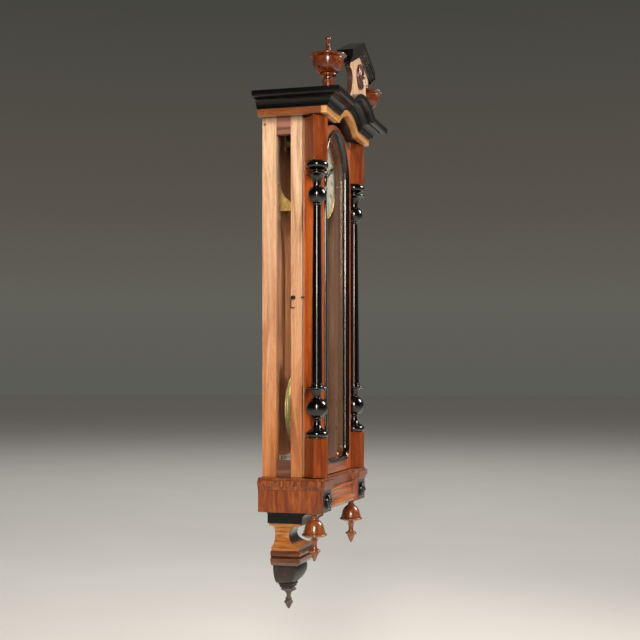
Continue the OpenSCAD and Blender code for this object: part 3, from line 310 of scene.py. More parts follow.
# Side frames' stiles in walnut, dull with age; a painted sheen makes them pinkish above and orange at the
# foot
PALE = ("#AC8058", "#DAB08A", "#ECD0B0")
PALE_FOOT = ("#86461C", "#B87038", "#D2925A")
stile_walnut = wood("walnut_stile_painted_sheen", PALE, rough=0.45, coat=0.2, foot=PALE_FOOT, streak=0.45)
# The short rails between those stiles: a darker red-brown, with the same painted sheen fading to the foot
rail_walnut = wood("walnut_rail_painted_sheen", ("#70402E", "#A06854", "#BC8670"), "Y", rough=0.45, coat=0.2,
                   foot=("#3E2018", "#6E4030", "#8C583E"), streak=0.35)
# Straight-grained walnut of the columns' blocks, varnished amber
amber_walnut = wood("amber_walnut_block", ("#4A1A00", "#7E3402", "#9A4C08"), figure=10, streak=0.4)
# Figured walnut veneer of the base box, laid upright and swirled; its corner blocks are stained black
box_walnut = wood("figured_walnut_box", ("#52200A", "#864016", "#A65C22"), figure=24, burr=0.6,
                  stain=("Y", "#0E0806", 0.55, 0.8))
# Cross-banded burr veneer of the base board: dark and orange clouds in short upright strips
burr_walnut = wood("burr_walnut_moulding", ("#2E140A", "#7A3A16", "#B26226"), figure=15, burr=0.8)
# The moulding along the base's front: polished walnut with a level grain
apron_walnut = wood("walnut_apron", ("#5A2A10", "#9C4E1C", "#C87A40"), "X")
# Turned walnut of the drops, polished on the lathe
turned_walnut = wood("turned_walnut", ("#46200E", "#84441E", "#A6602C"), rough=0.26, coat=0.7, figure=8)
# Pale sycamore veneer on the crest's face; its edges are painted brown, a painted shade on the board's sides
veneer = wood("pale_crest_veneer", ("#B88C68", "#DCB692", "#EACCB0"), figure=20, streak=0.25,
              stain=("Y", "#3E2A20", 0.8, 0.55))
# Striped veneer on the cheeks of the hanging bracket, and painted shade in its hollow: black on its front
# faces
console_wood = wood("striped_console_veneer", ("#70360F", "#D48A44", "#EEB068"), "Y", figure=5, streak=0.9,
                    stain=("Y", "#120A08", 0.4, 0.65))
# The bracket's mouldings: dark walnut, level grain
tail_walnut = wood("dark_bracket_walnut", ("#2A130A", "#643418", "#94582E"), "Y", figure=8)
# The bracket's bulb: smoky brown on its cheeks, black over its carved front
bulb_walnut = wood("smoked_walnut_bulb", ("#100904", "#2A1A10", "#40301F"), figure=10, rough=0.45, coat=0.05,
                   stain=("X", "#0A0706", 0.8, 0.55))
# Bare turned wood that has gone grey
grey_wood = wood("worn_grey_wood", ("#3A3028", "#5C5048", "#7C7066"), rough=0.5, coat=0.1)
# Varnished pine of the pendulum's rod: straight, narrow grain
rod_wood = wood("polished_pine_rod", ("#4A2410", "#6B3A1C", "#8A5028"), figure=6)
# Fruitwood under red shellac: orange-brown with darker clouds and a sharp gloss
red_polish = polished("red_shellac", "#5A2208", "#B05A20", rough=0.18, wear=0.8, spot=20, coat=0.6)
# The same shellac, aged to a purplish brown on the crest's rosette
rosette_polish = polished("reddish_rosette_polish", "#4E2418", "#8E5238", rough=0.25, wear=0.7, spot=10,
                          coat=0.4)
# Pear wood stained black and French polished: jet black with thin clear highlights
ebony = polished("ebonised_pearwood", "#050404", "#1C120C", rough=0.14, wear=0.3, coat=0.5)
# The same on the cornice, dulled by dusting
ebony_rubbed = polished("rubbed_ebonised_moulding", "#040303", "#140D09", rough=0.2, wear=0.5, spot=22,
                        coat=0.0, glance=0.3)
# The same on the glass moulding, cut in small waves that break its highlight
ebony_rippled = polished("rippled_ebonised_moulding", "#060505", "#1E140E", rough=0.12, wear=0.3, ripple=0.5)
# Black stain on the bracket's plate, worn brown in places
plate_black = polished("black_bracket_plate", "#080605", "#301A10", rough=0.28, wear=0.7, coat=0.2)
# Sheet and cast brass under lacquer: clear yellow, satin
brass = metal("lacquered_brass", "#E4C07C", "#B8925A", rough=0.42)
# The bob's brass, spun and gone olive
bob_brass = metal("spun_bob_brass", "#D2C08C", "#9C8A5C", rough=0.46)
# Brass left unlacquered outside the case: brown and dull
old_brass = metal("tarnished_brass", "#9A7A40", "#5E4624", rough=0.42)
# Iron wire and plate, blacked in oil
iron = metal("blackened_iron", "#3A3632", "#1A1816", rough=0.4)
# Ground steel of the springs and screws: cool grey
steel = metal("polished_steel", "#9A9C9E", "#6C6E70", rough=0.25)
# Steel hands blued by heat: near black with a blue glance
blued = metal("blued_steel", "#1A2030", "#0C0E16", rough=0.2)
# Glass enamel fired on copper, for the dial: warm white, glassy
enamel = fired("kiln_enamel", "#F4F1E8", "#E8E3D6")
# Glazed porcelain of the beat scale: a little greyer
porcelain = fired("glazed_porcelain", "#F0ECE2", "#DFD9CA")
# Black paint fired on the dial and the scale: dense and flat, a little uneven
ink = flat_ink("fired_black_paint")
# Laid gut of the weight's line: a yellowish cord, half clear, with a fine twist
gut = twisted_gut("laid_gut_line")
# Window glass of the door and the sides: clear, and wavy in what it mirrors
glass = drawn_glass("drawn_glass")

FINISH = {
    case_walnut: ["back_board", "top_board", "bottom_board"],
    soffit_wood: ["header_board"],
    rod_wood: ["pendulum_rod"],
    ebony: ["crest_roof"],
    steel: ["suspension_spring", "anchor_crutch"],
    blued: ["hour_hand", "minute_hand"],
    enamel: ["dial"],
    porcelain: ["beat_scale"],
    glass: ["side_glasses", "door_glass"],
    bob_brass: ["pendulum_bob"],
    old_brass: ["hanger_plate", "hinge_case_leaves", "hinge_door_leaves"],
    iron: ["latch_hook", "latch_post", "latch_eye"],
}
finish_of = {name: material for material, names in FINISH.items() for name in names}
for name, node in nodes.items():
    node.data.materials.clear()
    node.data.materials.append(finish_of.get(name, brass))


# Helpers for making pieces

def smooth_piece(shape, name, material):
    """A mesh built in millimetres as a smooth object in metres."""
    bmesh.ops.scale(shape, vec=(MM, MM, MM), verts=shape.verts)
    mesh = bpy.data.meshes.new(name)
    shape.to_mesh(mesh)
    shape.free()
    mesh.materials.append(material)
    mesh.polygons.foreach_set("use_smooth", [True] * len(mesh.polygons))
    piece = bpy.data.objects.new(name, mesh)
    scene.collection.objects.link(piece)
    return piece


def keep(shape, name, body, material, replaces=(), crease=35, weighted=False):
    """Finishes a mesh as a piece with sharp creases that rides on a body."""
    piece = smooth_piece(shape, name, material)
    piece.data.set_sharp_from_angle(angle=math.radians(crease))
    if weighted:
        piece.modifiers.new("weighted_normals", "WEIGHTED_NORMAL").keep_sharp = True
    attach(piece, body)
    if replaces:
        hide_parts(*replaces)
    return piece


def bevelled(shape, edges, width):
    """Rounds edges over by a width."""
    bmesh.ops.bevel(shape, geom=edges, offset=width, offset_type="OFFSET", segments=2, profile=0.5,
                    affect="EDGES", clamp_overlap=True, material=-1)


def verts_in(geometry):
    """The vertices among what an operator gives back."""
    return [g for g in geometry if isinstance(g, bmesh.types.BMVert)]


def sharp_edges(shape, angle=30):
    """Edges whose two faces turn by more than an angle in degrees."""
    return [e for e in shape.edges if len(e.link_faces) == 2 and e.calc_face_angle(0) > math.radians(angle)]


def portion(name, *cuts):
    """A node's solid in millimetres, with what lies beyond each cutting plane taken off and closed."""
    shape = bmesh.new()
    shape.from_mesh(nodes[name].data)
    bmesh.ops.scale(shape, vec=(1 / MM,) * 3, verts=shape.verts)
    bmesh.ops.remove_doubles(shape, verts=shape.verts, dist=0.01)
    bmesh.ops.dissolve_limit(shape, angle_limit=math.radians(1), verts=shape.verts, edges=shape.edges)
    for place, normal in cuts:
        everything = list(shape.verts) + list(shape.edges) + list(shape.faces)
        bmesh.ops.bisect_plane(shape, geom=everything, plane_co=place, plane_no=normal, clear_outer=True,
                               dist=0.001)
        open_edges = [e for e in shape.edges if e.is_boundary]
        bmesh.ops.holes_fill(shape, edges=open_edges, sides=0)
    return shape


def eased(shape, name, material, replaces, body="case", width=0.7):
    """Eases the arrises of a joiner's piece, so that they catch the light."""
    bevelled(shape, sharp_edges(shape), width)
    return keep(shape, name, body, material, replaces, weighted=True)


def board(shape, low, high, ease=0.6):
    """A planed board between two corners; depths are distances from the wall."""
    made = bmesh.ops.create_cube(shape, size=1.0)["verts"]
    size = [high[i] - low[i] for i in range(3)]
    bmesh.ops.scale(shape, vec=size, verts=made)
    middle = [(low[i] + high[i]) / 2 for i in range(3)]
    bmesh.ops.translate(shape, vec=(middle[0], -middle[1], middle[2]), verts=made)
    if ease:
        bevelled(shape, list({e for v in made for e in v.link_edges}), ease)


def arc(centre, radius, start, end, steps):
    """Points of an arc in a profile, from one angle to another."""
    angles = [math.radians(start + (end - start) * i / steps) for i in range(steps + 1)]
    return [(centre[0] + radius * math.cos(a), centre[1] + radius * math.sin(a)) for a in angles]


def turned(shape, profile, foot, up=(0, 0, 1), steps=56):
    """Turns a profile of radius and height about the line that rises from foot along up."""
    up = Vector(up)
    foot = Vector(foot)
    side = Vector((1, 0, 0)) if abs(up.x) < 0.9 else Vector((0, 1, 0))
    verts = [shape.verts.new(foot + side * max(r, 0.0) + up * h) for r, h in profile]
    edges = [shape.edges.new(pair) for pair in zip(verts, verts[1:])]
    before = set(shape.faces)
    bmesh.ops.spin(shape, geom=verts + edges, cent=foot, axis=up, angle=math.tau, steps=steps, use_merge=True)
    made = list({v for f in shape.faces if f not in before for v in f.verts})
    bmesh.ops.remove_doubles(shape, verts=made, dist=0.005)
    bmesh.ops.recalc_face_normals(shape, faces=[f for f in shape.faces if f not in before])


def close_ends(shape):
    """Fills the open ends of a shape, and turns its faces outwards."""
    bmesh.ops.holes_fill(shape, edges=[e for e in shape.edges if e.is_boundary])
    bmesh.ops.recalc_face_normals(shape, faces=shape.faces)


def skinned(shape, outlines, round_again=False):
    """Skins a row of closed outlines. Its ends are filled, unless the last outline is joined to the first."""
    loops = []
    for points in outlines:
        verts = [shape.verts.new(p) for p in points]
        loops.append([shape.edges.new(pair) for pair in zip(verts, verts[1:] + verts[:1])])
    for first, second in zip(loops, loops[1:] + loops[:1] if round_again else loops[1:]):
        bmesh.ops.bridge_loops(shape, edges=first + second)
    close_ends(shape)


def rod(shape, start, end, radius):
    """A round bar between two points."""
    start = Vector(start)
    end = Vector(end)
    turn = (end - start).to_track_quat("Z", "Y").to_matrix().to_4x4()
    bmesh.ops.create_cone(shape, cap_ends=True, segments=20, radius1=radius, radius2=radius,
                          depth=(end - start).length, matrix=Matrix.Translation((start + end) / 2) @ turn)


def screw(shape, place, out, radius, turn=20):
    """A countersunk screw: a thin head with a sawn slot."""
    facing = Vector(out).to_track_quat("Z", "Y").to_matrix().to_4x4()
    matrix = Matrix.Translation(place) @ facing @ Matrix.Rotation(math.radians(turn), 4, "Z")
    thick = radius * 0.16
    bmesh.ops.create_cone(shape, cap_ends=True, segments=20, radius1=radius, radius2=radius, depth=thick * 2,
                          matrix=matrix)
    for side in (1, -1):
        made = bmesh.ops.create_circle(shape, cap_ends=True, segments=20, radius=radius * 0.96)["verts"]
        faces = list({f for v in made for f in v.link_faces})
        edges = list({e for v in made for e in v.link_edges})
        cut = bmesh.ops.bisect_plane(shape, geom=made + faces + edges, plane_co=(0, side * radius * 0.14, 0),
                                     plane_no=(0, side, 0), clear_inner=True)
        half = [g for g in cut["geom"] if isinstance(g, bmesh.types.BMFace)]
        lifted = verts_in(bmesh.ops.extrude_face_region(shape, geom=half)["geom"])
        bmesh.ops.translate(shape, vec=(0, 0, thick * 2.4), verts=lifted)
        whole = {v for f in half if f.is_valid for v in f.verts} | set(lifted)
        bmesh.ops.recalc_face_normals(shape, faces=list({f for v in whole for f in v.link_faces}))
        bmesh.ops.transform(shape, matrix=matrix, verts=list(whole))


# Side frames and door: stiles and rails as they are joined, with the grain running along each
REAR_STILE_W = 29
FRONT_STILE_W = 23.5
REAR_STILE = (0, -CASE_REAR - REAR_STILE_W, 0)
FRONT_STILE = (0, -CASE_FRONT + FRONT_STILE_W, 0)
# The rails end just inside the stiles' faces
JOINT_GAP = 0.05
REAR_JOINT = (0, REAR_STILE[1] - JOINT_GAP, 0)
FRONT_JOINT = (0, FRONT_STILE[1] + JOINT_GAP, 0)
for label in ("left", "right"):
    source = "side_frame_" + label
    for part, cuts, material in (
            ("rear_stile_", [(REAR_STILE, FORWARD)], stile_walnut),
            ("front_stile_", [(FRONT_STILE, BACKWARD)], stile_walnut),
            ("rails_", [(REAR_JOINT, BACKWARD), (FRONT_JOINT, FORWARD)], rail_walnut)):
        eased(portion(source, *cuts), part + label, material, [source])
# Half the width between the door's stiles
SIGHT_HALF = 84
for part, cuts, material in (
        ("door_stile_left", [((-SIGHT_HALF, 0, 0), (1, 0, 0))], walnut_up),
        ("door_stile_right", [((SIGHT_HALF, 0, 0), (-1, 0, 0))], walnut_up),
        ("door_rails", [((SIGHT_HALF, 0, 0), (1, 0, 0)), ((-SIGHT_HALF, 0, 0), (-1, 0, 0))], walnut_across)):
    eased(portion("door_frame", *cuts), part, material, ["door_frame"], "door")

# Mouldings and boards with eased arrises
for name, material, slot, body, width in (
        ("cornice", ebony_rubbed, "ebonised", "case", 0.5),
        ("crest_board", veneer, "pale_veneer", "case", 0.8),
        ("base_box", box_walnut, "amber_walnut", "case", 0.8),
        ("base_apron", apron_walnut, "dark_walnut", "case", 0.4),
        ("base_board", burr_walnut, "dark_walnut", "case", 0.8),
        ("tail_plate", plate_black, "dark_walnut", "case", 0.6),
        ("tail_console", console_wood, "walnut", "case", 0.6),
        ("tail_moulding", tail_walnut, "dark_walnut", "case", 0.6),
        ("column_blocks", amber_walnut, "amber_walnut", "door", 0.6)):
    eased(portion(name), name + "_eased", material, [name], body, width)

# The fascia's front, and its returns in two lengths of board
FASCIA_CORNER = (0, -137, 0)
FASCIA_JOINT = (0, -28, 0)
eased(portion("fascia", (FASCIA_CORNER, BACKWARD)), "fascia_front", fascia_front, ["fascia"])
eased(portion("fascia", (FASCIA_CORNER, FORWARD), (FASCIA_JOINT, BACKWARD)), "fascia_returns", fascia_side,
      ["fascia"])
eased(portion("fascia", (FASCIA_JOINT, FORWARD)), "fascia_return_ends", fascia_side, ["fascia"])

# Columns: turned pear wood, ebonised, between a block above and a block below
BLOCK_GAP = 1.5
UPPER_BLOCK_H = 86
LOWER_BLOCK_H = 76
COLUMN_TOP = FASCIA_BOTTOM - BLOCK_GAP - UPPER_BLOCK_H
COLUMN_BOTTOM = BASE_TOP + BLOCK_GAP + LOWER_BLOCK_H
COLUMN_H = COLUMN_TOP - COLUMN_BOTTOM
foot = [(0, 0), (18.5, 0)] + arc((16.2, 7), 6.4, -72, 78, 10) + [(16.4, 14.4), (15.2, 15.6), (11.4, 18)]
foot += [(8.4, 22), (7.0, 27), (6.7, 31), (7.0, 34)] + arc((8.2, 37.4), 2.0, -70, 70, 6)
foot += arc((0, 56.8), 21.0, -65, 69, 20)
foot += [(7.5, 79), (8.6, 84.5), (10.2, 89), (11.8, 92), (16, 93)] + arc((19.9, 95.6), 2.2, -75, 75, 8)
foot += [(16, 98.4), (12.4, 99.2), (12, 101)] + arc((11.2, 102.6), 1.3, -80, 80, 5)
head = [(0, 0), (18.5, 0)] + arc((15.2, 7.6), 7.2, -72, 72, 10) + [(13, 15.6), (9.6, 16.8), (9.2, 19)]
head += [(12, 20.6), (17, 21.4)] + arc((20.2, 23.8), 2.2, -75, 70, 8) + [(17.4, 26.6), (13.2, 29.6)]
head += [(10, 34), (8.2, 39), (7.4, 45)] + arc((0, 64.2), 18.0, -64, 63, 18)
for side, name in ((-1, "column_left"), (1, "column_right")):
    shape = bmesh.new()
    upper = [(r, COLUMN_H - h) for r, h in reversed(head)]
    shaft = [(10.8, 104.6), (10.6, 140), (9.2, 300), (7.4, COLUMN_H - 86)]
    shaft += arc((7.2, COLUMN_H - 82.4), 2.0, -80, 80, 6)
    turned(shape, foot + shaft + upper, (side * COLUMN_X, -COLUMN_Y, COLUMN_BOTTOM))
    keep(shape, name + "_turned", "door", ebony, [name])

# The moulding round the door's glass: a hollow and a rounded nose that run round the arch
GLASS_CORNER = 24
GLASS_FOOT = 30


def glass_line(grow, depth):
    """The closed outline of the glass, grow larger all round, at a depth from the wall."""
    corner, half, low = GLASS_CORNER + grow, SIGHT_HALF + grow, BASE_TOP + GLASS_FOOT + GLASS_CORNER
    points = arc((0, SPRING), half, 0, 180, 64) + arc((corner - half, low), corner, 180, 270, 14)
    points += arc((half - corner, low), corner, 270, 360, 14)
    return [(x, -depth, z) for x, z in points]


shape = bmesh.new()
section = [(3.9, GLASS_FRONT), (1.6, GLASS_FRONT)] + [(8.0 - x, y) for x, y in arc((0, 117), 8.0, -24, 26, 8)]
section += [(4.2 - x, DOOR_FRONT - 0.6 + y) for x, y in arc((0, 0), 3.0, 20, 100, 6)]
section += [(4.9, DOOR_FRONT + 1.2)]
section += [(7.4 - x, DOOR_FRONT + 1.6 + y) for x, y in arc((0, 0), 2.3, 0, 180, 8)]
section += [(9.9, DOOR_FRONT), (9.9, DOOR_FRONT - 0.1)]
skinned(shape, [glass_line(grow, depth) for grow, depth in section], round_again=True)
keep(shape, "door_moulding_run", "door", ebony_rippled, ["door_moulding"], crease=50)

# Turned finials; each right one stands so far across, out from the wall, and up
TOP_FINIAL = (155, 146, -18)
DROP_FINIAL = (145, 116, -822)
shape = bmesh.new()
cup = [(0, 0), (13, 0), (13.6, 1.6), (12.2, 3.4), (10.6, 5), (10.4, 18), (11.6, 20), (11.8, 22), (10, 23.4)]
cup += [(8.4, 26), (8.6, 29), (11, 30.4), (15.4, 31.4)] + arc((14.6, 33.4), 1.8, -60, 80, 6)
cup += [(12.6, 35.6), (14.6, 36.2), (18.4, 37.6), (21.8, 40), (24.8, 43.4), (27.2, 47.6), (29, 52.4)]
cup += [(30, 57), (30.2, 61.4)] + arc((29.8, 63), 1.5, -60, 60, 5) + [(29.4, 65), (31.6, 66.2), (34.2, 68)]
cup += arc((34.6, 69.6), 1.5, -60, 90, 6) + [(31, 70.6), (22, 71.4), (12, 73), (6, 76.4), (4.4, 80)]
cup += arc((2.6, 83), 2.4, -50, 50, 5) + arc((2.4, 88), 2.2, -50, 50, 5) + arc((2.4, 93), 2.2, -50, 50, 5)
cup += [(3, 96)] + arc((0, 102), 5.4, -52, 88, 10) + [(0, 107.4)]
for side in (-1, 1):
    turned(shape, cup, (side * TOP_FINIAL[0], -TOP_FINIAL[1], TOP_FINIAL[2]))
keep(shape, "top_finials_turned", "case", red_polish, ["top_finials"])

shape = bmesh.new()
drop = [(0, 0), (13, 0), (14, 1.5), (13.6, 3.6), (9, 5.4), (6, 8), (5.6, 10), (7.2, 12), (7.4, 13.6)]
drop += [(9.4, 15), (12.4, 17.4), (15.2, 20.8), (17.4, 24.8), (18.8, 29), (19.6, 33), (20, 35.4), (21, 36)]
drop += [(21.2, 38.6), (20.6, 39.4), (21.6, 40.2)] + arc((22.4, 43.2), 2.2, -60, 80, 6)
drop += [(20.6, 46.6), (14, 48.8), (9, 51), (6.4, 55), (5.2, 61), (5.0, 66), (6.4, 70)]
drop += arc((9.4, 74.6), 2.6, -80, 80, 8)
drop += [(8.2, 77.6), (8.0, 80), (6.4, 84), (3.8, 90), (1.6, 94), (0, 95)]
for side in (-1, 1):
    turned(shape, drop, (side * DROP_FINIAL[0], -DROP_FINIAL[1], DROP_FINIAL[2]), up=DOWN)
keep(shape, "drop_finials_turned", "case", turned_walnut, ["drop_finials"])

# Tail bulb: a carved corbel with flat cheeks and a swelling front, over a small square neck
TAIL_Y = 20.0
BULB_TOP = -942.0
NECK_TOP = BULB_BOTTOM + 9
shape = bmesh.new()
bulge = [(52, 0), (54, -6), (54.5, -12), (53, -19), (49.5, -26), (44.5, -32.5), (38.5, -38), (33, -41)]
width = [44, 44, 43.2, 41, 37.4, 32.6, 26.6, 20]
outlines = []
for (front, drop_z), half in zip(bulge, width):
    corners = [(-half, 0), (half, 0), (half, front - 7), (half * 0.55, front - 1.4), (0, front)]
    corners += [(-half * 0.55, front - 1.4), (-half, front - 7)]
    outlines.append([(x, -y, BULB_TOP + drop_z) for x, y in corners])
skinned(shape, outlines)
bevelled(shape, sharp_edges(shape, 40), 0.8)
board(shape, (-17, TAIL_Y - 17, NECK_TOP - 4), (17, TAIL_Y + 15, NECK_TOP), 0.8)
board(shape, (-15, TAIL_Y - 15, BULB_BOTTOM), (15, TAIL_Y + 13, NECK_TOP - 4), 0.6)
keep(shape, "tail_bulb_carved", "case", bulb_walnut, ["tail_bulb"], crease=32, weighted=True)

shape = bmesh.new()
point = [(0, 0), (12, 0), (13, 1.4)] + arc((13.4, 5), 2.4, -70, 70, 7) + [(12.6, 8), (8, 10.4), (5.4, 13.4)]
point += [(4.2, 19), (4.6, 22)] + arc((5.4, 25), 1.6, -60, 60, 5) + [(5.2, 27), (7.4, 29)]
point += arc((5.6, 32), 3.4, -40, 60, 6) + [(6.6, 36), (4.6, 40.6), (2.2, 44.6), (0, 46)]
turned(shape, point, (0, -TAIL_Y, BULB_BOTTOM), up=DOWN)
keep(shape, "tail_finial_turned", "case", grey_wood, ["tail_finial"])

# Turned rosettes: rings round a boss, each ring by its radius, its height and half its width
RINGS = ((22.4, 3.0, 2.6), (16.8, 4.0, 2.1), (11.8, 4.8, 1.9))
ROSETTE_R = 25
CREST_ROSETTE_Z = 47
BASE_ROSETTE_R = 15
BASE_ROSETTE_X = 137.5
BASE_ROSETTE_Z = -800.3
BASE_FRONT = 140.2


def rosette(shape, x, z, back, radius):
    """A rosette of a radius, on a face at a distance from the wall."""
    profile = [(0, 0), (24.4, 0), (ROSETTE_R, 0.8)]
    for r, h, w in RINGS:
        profile += arc((r, h), w, 0, 180, 8)
    profile += [(8.6, 4.4)] + arc((0, 4.2), 6.8, 8, 90, 8)
    grow = radius / ROSETTE_R
    turned(shape, [(r * grow, h) for r, h in profile], (x, -back, z), FORWARD)


shape = bmesh.new()
rosette(shape, 0, CREST_ROSETTE_Z, CREST_FRONT, ROSETTE_R)
keep(shape, "crest_rosette_turned", "case", rosette_polish, ["crest_rosette"])
shape = bmesh.new()
for side in (-1, 1):
    rosette(shape, side * BASE_ROSETTE_X, BASE_ROSETTE_Z, BASE_FRONT, BASE_ROSETTE_R)
keep(shape, "base_rosettes_turned", "case", ebony, ["base_rosettes"])

# Dial: bezel, chapter marks and numerals in fired paint
DIAL_FRONT = 97.0
BEZEL_BACK = 94.0
INK = 0.12
# The ring of minutes, and the foot of the hours' numerals, as radii
TRACK_INNER = 66.4
TRACK_OUTER = 70.8
NUMERAL_FOOT = 50.5


def ring(shape, inner, outer):
    """A painted ring on the dial, between two radii."""
    profile = [(inner, 0), (outer, 0), (outer, INK), (inner, INK), (inner, 0)]
    turned(shape, profile, (0, -DIAL_FRONT, DIAL), FORWARD, steps=96)


def plate(shape, points, move):
    """A flat plate: a face through the points, drawn out by a move."""
    face = shape.faces.new([shape.verts.new(p) for p in points])
    drawn = verts_in(bmesh.ops.extrude_face_region(shape, geom=[face])["geom"])
    bmesh.ops.translate(shape, vec=move, verts=drawn)
    bmesh.ops.recalc_face_normals(shape, faces=list({f for v in drawn for f in v.link_faces} | {face}))


def inlay(shape, outline, back):
    """A thin flat mark with an outline of x and z, standing on a face at a distance from the wall."""
    plate(shape, [(x, -back, z) for x, z in outline], (0, -INK, 0))


def on_dial(points, angle):
    """Points given across and out along a radius, laid at that radius's angle round the dial."""
    along, up = math.cos(angle), math.sin(angle)
    return [(a * up + r * along, DIAL - a * along + r * up) for a, r in points]


# Strokes of each letter as outlines in a height of 13, with the letter's width
LETTERS = {
    "I": (3.4, [[(1.0, 0), (2.4, 0), (2.4, 13), (1.0, 13)]]),
    "V": (8.6, [[(3.6, 0), (5.0, 0), (2.2, 13), (0.6, 13)], [(4.2, 0), (4.9, 0), (7.9, 13), (7.3, 13)]]),
    "X": (9.0, [[(6.6, 0), (8.2, 0), (2.4, 13), (0.8, 13)], [(1.0, 0), (1.7, 0), (8.1, 13), (7.4, 13)]]),
}
HOURS = ("I", "II", "III", "IIII", "V", "VI", "VII", "VIII", "IX", "X", "XI", "XII")

shape = bmesh.new()
for inner, outer in ((66.2, 66.6), (70.6, 71.0), (20.4, 20.7)):
    ring(shape, inner, outer)
for minute in range(60):
    angle = math.radians(90 - 6 * minute)
    half = 0.55 if minute % 5 == 0 else 0.2
    corners = [(-half, TRACK_INNER), (half, TRACK_INNER), (half, TRACK_OUTER), (-half, TRACK_OUTER)]
    inlay(shape, on_dial(corners, angle), DIAL_FRONT)
    if minute % 5:
        continue
    text = HOURS[minute // 5 - 1]
    cursor = -sum(LETTERS[letter][0] for letter in text) / 2
    for letter in text:
        width, strokes = LETTERS[letter]
        serifs = [[(0.2, z), (width - 0.2, z), (width - 0.2, z + 0.5), (0.2, z + 0.5)] for z in (0, 12.5)]
        for stroke in strokes + serifs:
            marks = [(cursor + x, NUMERAL_FOOT + z) for x, z in stroke]
            inlay(shape, on_dial(marks, angle), DIAL_FRONT - 0.02 * HOURS.index(text) / 12)
        cursor += width
keep(shape, "dial_marks", "case", ink)

shape = bmesh.new()
bezel = [(76, 0), (82, 0), (82, 2.6)] + arc((80, 2.9), 2.0, -8, 150, 8)
bezel += [(77.4, 3.7), (76.2, 3.9), (75.2, 3.5), (75, 3.05), (76, 3.0), (76, 0)]
turned(shape, bezel, (0, -BEZEL_BACK, DIAL), FORWARD, steps=128)
keep(shape, "bezel_turned", "case", brass, ["dial_bezel"])

# Beat scale: strokes on an arc about the pendulum's axis
SCALE_FRONT = 17.0
SCALE_RADIUS = 637.6
shape = bmesh.new()
for step in range(-16, 17):
    angle = math.radians(step * 0.24)
    low, high = (-4.6, 4.4) if step % 4 == 0 else (-4.6, 0.4)
    half = 0.35 if step % 4 == 0 else 0.2
    spread = half / SCALE_RADIUS
    corners = [(angle - spread, low), (angle + spread, low), (angle + spread, high), (angle - spread, high)]
    reached = [(a, SCALE_RADIUS + h) for a, h in corners]
    inlay(shape, [(r * math.sin(a), ANCHOR - r * math.cos(a)) for a, r in reached], SCALE_FRONT)
keep(shape, "beat_scale_marks", "case", ink)

# Movement bracket: a seat with openings for the line, and two curved cheeks that rise along the back board
SEAT = -224.2
SEAT_FOOT = SEAT - 3
shape = bmesh.new()
for low, high in (((-59, 46), (-21.4, 88)), ((21.4, 46), (59, 88)), ((-21.8, 46), (21.8, 70.4)),
                  ((-13.4, 70), (13.4, 88)), ((-21.8, 78.6), (21.8, 88))):
    board(shape, (*low, SEAT_FOOT), (*high, SEAT), 0.3)
curve = [(88, SEAT_FOOT), (88, SEAT + 2)]
for step in range(16):
    angle = math.radians(step * 6)
    curve.append((88 - 66 * math.sin(angle), SEAT + 50 - 48 * math.cos(angle)))
curve += [(14, SEAT + 50), (14, SEAT_FOOT)]
for x in (-62, 58):
    plate(shape, [(x, -y, z) for y, z in curve], (4, 0, 0))
rod(shape, (17.5, -67.5, SEAT + 2), (17.5, -81.5, SEAT + 2), 1.5)
for y in (67.5, 78.5):
    board(shape, (15.5, y, SEAT - 1), (19.5, y + 3, SEAT + 4), 0.2)
keep(shape, "movement_bracket_cast", "case", brass, ["movement_bracket"], weighted=True)

# Screws of the movement, the cock and the beat scale
PLATE_FRONT = 86.0
COCK_FRONT = 18.0
shape = bmesh.new()
for x in (-45, 45):
    for z in (-216.2, -130.8):
        screw(shape, (x, -PLATE_FRONT, z), FORWARD, 3.2, turn=x + z)
for z in (ANCHOR + 22, ANCHOR - 2):
    for x in (-7, 7):
        screw(shape, (x, -COCK_FRONT, z), FORWARD, 2.0, turn=3 * x + z)
for x in (-42, 42):
    screw(shape, (x, -SCALE_FRONT, ANCHOR - math.sqrt(SCALE_RADIUS ** 2 - x * x)), FORWARD, 1.8, turn=x)
keep(shape, "movement_screws", "case", steel, crease=25)

# One countersunk screw at the rear top corner of each side frame
shape = bmesh.new()
for side in (-1, 1):
    screw(shape, (side * BODY_HALF, -16, -70), (side, 0, 0), 2.4, turn=35)
keep(shape, "frame_screws", "case", old_brass, crease=25)

# Hinges: countersunk screws in the leaves, and turned tips on the pins
HINGE_X = 147.2
HINGE_Y = 91.85
HINGE_LEVELS = (-602.7, -254.7)
HINGE_HALF = 25
LEAF_X = 136
CASE_LEAF_FRONT = 90.95
DOOR_LEAF_BACK = 92.75
shape = bmesh.new()
door_screws = bmesh.new()
tips = bmesh.new()
for z in HINGE_LEVELS:
    for offset in (-18, 0, 18):
        screw(shape, (LEAF_X, -CASE_LEAF_FRONT, z + offset), FORWARD, 2.1, turn=offset * 3)
        screw(door_screws, (LEAF_X, -DOOR_LEAF_BACK, z + offset + 4), BACKWARD, 2.1, turn=offset * 5)
    for side in (-1, 1):
        tip = [(0, 0), (1.9, 0), (2.2, 0.8), (1.3, 1.7)] + arc((0, 3.2), 1.7, -40, 90, 8)
        turned(tips, tip, (HINGE_X, -HINGE_Y, z + side * HINGE_HALF), (0, 0, side), steps=24)
keep(shape, "hinge_screws_case", "case", steel, crease=25)
keep(door_screws, "hinge_screws_door", "door", steel, crease=25)
keep(tips, "hinge_pin_tips", "case", old_brass)

